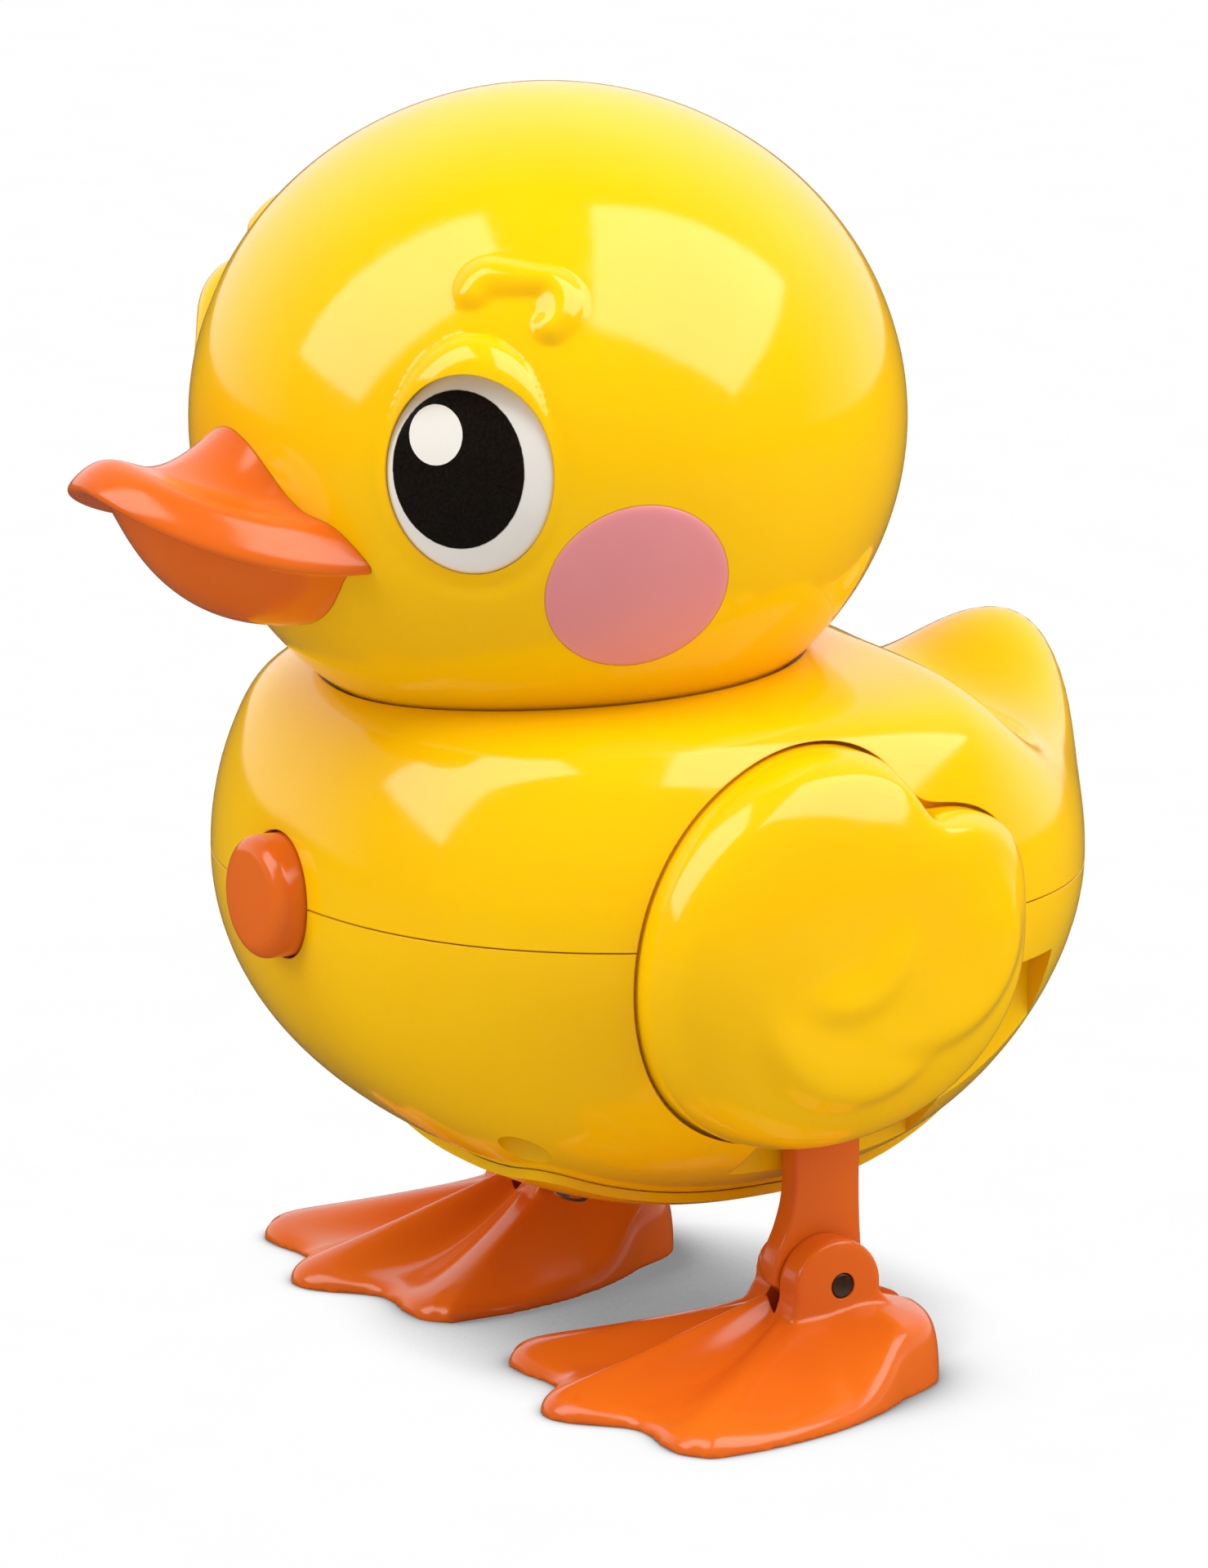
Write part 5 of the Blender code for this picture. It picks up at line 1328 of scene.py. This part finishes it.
def build_screw(node):
    """Pan-head screw sized and placed from its CAD node."""
    points = [v.co - ORIGIN_SHIFT for v in frame["nodes"][node].data.vertices]
    middle = sum(points, Vector()) / len(points)
    axis = long_axis(points, middle)
    along = [(point - middle).dot(axis) for point in points]
    across = [(point - middle - axis * share).length for point, share in zip(points, along)]
    head_radius = max(across)
    if along[across.index(head_radius)] < 0.0:
        axis, along = -axis, [-share for share in along]
    top = middle + axis * max(along)
    tip = min(along)
    shank = max(reach for reach, share in zip(across, along) if share - tip < 1.6 * MM)
    screw = turned_mesh("screw", screw_profile(head_radius, shank, max(along) - tip), top, axis, 40)
    place = Matrix.Translation(top) @ aligned(axis).to_4x4()
    show(node, cut(screw, *cross_recess(head_radius, place)))


def build_hop_spring():
    coil = coil_mesh(3.6 * MM, 0.4 * MM, 4.0, (16.0 * MM, *HIP), (22.0 * MM, *HIP))
    show("hop_spring", coil, SPRING_STEEL)


def dress_cad_nodes():
    """Nodes whose CAD shape is already right get the finished materials."""
    finish = {"left_motor_plate": PLATE_STEEL, "right_motor_plate": PLATE_STEEL, "mainspring": SPRING_STEEL}
    for node, obj in frame["nodes"].items():
        if obj.hide_render:
            continue
        obj.data.materials.clear()
        obj.data.materials.append(finish.get(node, MATERIALS[SLOT_OF[node]]))


# ------------------------------------------------------------------ studio

def build_stage():
    """Pale floor: to the camera a clean white sheet with a soft contact shade painted where the toy is near,
    to the toy a dull bounce.
    """
    bm = bmesh.new()
    bmesh.ops.create_grid(bm, x_segments=8, y_segments=8, size=5.0)
    floor = bpy.data.objects.new("studio_floor", finish_mesh(bm, "studio_floor"))
    bpy.context.scene.collection.objects.link(floor)
    material, tree, shader = node_material("pale_floor")
    shader.inputs["Roughness"].default_value = 0.9
    shader.inputs["Specular IOR Level"].default_value = 0.1
    nearness = tree.nodes.new("ShaderNodeAmbientOcclusion")
    nearness.samples = 16
    nearness.inputs["Distance"].default_value = 26.0 * MM
    paper = textured(tree, 60.0, 4.0)
    grain = ranged(tree, paper.outputs[0], 0.992, 1.0)
    # Painted contact shade: the floor's glow is darkened where ambient occlusion finds the toy close by.
    painted_shadow = ranged(tree, nearness.outputs["AO"], 0.24, 1.0, 0.48, 0.94)
    sheet = tree.nodes.new("ShaderNodeEmission")
    tree.links.new(calculated(tree, "MULTIPLY", painted_shadow, grain), sheet.inputs["Strength"])
    path = tree.nodes.new("ShaderNodeLightPath")
    bounce = mixed(tree, path.outputs["Is Glossy Ray"], (0.62, 0.62, 0.62), (0.05, 0.05, 0.05))
    tree.links.new(bounce, shader.inputs["Base Color"])
    mix = tree.nodes.new("ShaderNodeMixShader")
    tree.links.new(path.outputs["Is Camera Ray"], mix.inputs["Fac"])
    tree.links.new(shader.outputs[0], mix.inputs[1])
    tree.links.new(sheet.outputs[0], mix.inputs[2])
    tree.links.new(mix.outputs[0], tree.nodes["Material Output"].inputs["Surface"])
    floor.data.materials.append(material)


LAMP_DISTANCE = 0.85


def soft_box(name, centre, along, width, height, radiance):
    """Rectangular lamp seen from the toy in direction `centre`, its long side along `along`."""
    light = bpy.data.lights.new(name, "AREA")
    light.shape = "RECTANGLE"
    light.size = width
    light.size_y = height
    light.energy = radiance * math.pi * width * height
    lamp = bpy.data.objects.new(name, light)
    bpy.context.scene.collection.objects.link(lamp)
    back = centre.normalized()
    right = (along - back * along.dot(back)).normalized()
    lamp.rotation_mode = "QUATERNION"
    lamp.rotation_quaternion = Matrix((right, back.cross(right), back)).transposed().to_quaternion()
    lamp.location = Vector((0.0, -10.0, 95.0)) * MM + ORIGIN_SHIFT + back * LAMP_DISTANCE


CAMERA_AZIMUTH = math.radians(60.5)
CAMERA_ELEVATION = math.radians(13.2)
TOWARD_CAMERA = Vector((math.sin(CAMERA_AZIMUTH) * math.cos(CAMERA_ELEVATION),
                        -math.cos(CAMERA_AZIMUTH) * math.cos(CAMERA_ELEVATION), math.sin(CAMERA_ELEVATION)))
CAMERA_RIGHT = Vector((math.cos(CAMERA_AZIMUTH), math.sin(CAMERA_AZIMUTH), 0.0))
CAMERA_UP = TOWARD_CAMERA.cross(CAMERA_RIGHT)
CAMERA_TARGET = Vector((0.0, -10.95, 66.4)) * MM
CAMERA_DISTANCE = 1.1
LENS = 212.4
KEY_RADIANCE = 3.65
FILL_RADIANCE = 7.0
AMBIENT = 0.44


def from_camera(right, up, toward):
    return CAMERA_RIGHT * right + CAMERA_UP * up + TOWARD_CAMERA * toward


def build_camera():
    scene = bpy.context.scene
    scene.view_settings.view_transform = "Standard"
    camera = bpy.data.cameras.new("camera")
    camera.lens = LENS
    camera.sensor_width = 36.0
    camera.clip_start = 0.01
    camera.clip_end = 20.0
    eye = bpy.data.objects.new("camera", camera)
    scene.collection.objects.link(eye)
    eye.location = CAMERA_TARGET + ORIGIN_SHIFT + TOWARD_CAMERA * CAMERA_DISTANCE
    eye.rotation_mode = "QUATERNION"
    eye.rotation_quaternion = Matrix((CAMERA_RIGHT, CAMERA_UP, TOWARD_CAMERA)).transposed().to_quaternion()
    scene.camera = eye


def build_lamps():
    soft_box("left_soft_box", from_camera(-0.56, 0.52, 0.35), from_camera(0.66, 0.65, 0.18),
             0.95, 0.50, KEY_RADIANCE)
    soft_box("right_soft_box", from_camera(0.50, 0.55, 0.34), from_camera(0.63, -0.41, -0.33),
             0.84, 0.78, KEY_RADIANCE)
    soft_box("small_fill", from_camera(0.833, -0.337, 0.435), from_camera(0.0, 1.0, 0.0),
             0.09, 0.07, FILL_RADIANCE)


def mixed_strength(tree, factor, first, second):
    """Mix of a socket and a number."""
    mix = tree.nodes.new("ShaderNodeMix")
    tree.links.new(factor, mix.inputs["Factor"])
    tree.links.new(first, mix.inputs["A"])
    mix.inputs["B"].default_value = second
    return mix.outputs["Result"]


def build_world():
    """White to the camera, soft for diffuse light, and dark behind the camera in reflections."""
    world = bpy.data.worlds.new("studio")
    world.use_nodes = True
    bpy.context.scene.world = world
    tree = world.node_tree
    place = tree.nodes.new("ShaderNodeTexCoord")
    facing = vector_step(tree, "DOT_PRODUCT", place.outputs["Generated"], TOWARD_CAMERA)
    behind = ranged(tree, facing, 1.0, 0.06, -0.55, 0.05)
    path = tree.nodes.new("ShaderNodeLightPath")
    ambient = mixed_strength(tree, path.outputs["Is Diffuse Ray"], behind, AMBIENT)
    backdrop = mixed_strength(tree, path.outputs["Is Camera Ray"], ambient, 1.0)
    background = tree.nodes["Background"]
    background.inputs["Color"].default_value = (1.0, 1.0, 1.0, 1.0)
    tree.links.new(backdrop, background.inputs["Strength"])


wing_seats, through_holes = wing_recesses(), tuple(shared_holes())
build_lower_shell(wing_seats, through_holes)
build_upper_shell(wing_seats, through_holes)
build_belly_cover()
build_head_shell()
build_inserts()
show("upper_bill", bill_mesh(True))
show("lower_bill", bill_mesh(False))
build_wings()
build_legs()
build_feet()
build_ankles()
build_button()
build_button_spring()
build_knob()
for name in sorted(frame["nodes"]):
    if "screw" in name:
        build_screw(name)
build_hop_spring()
dress_cad_nodes()
build_stage()
build_camera()
build_lamps()
build_world()
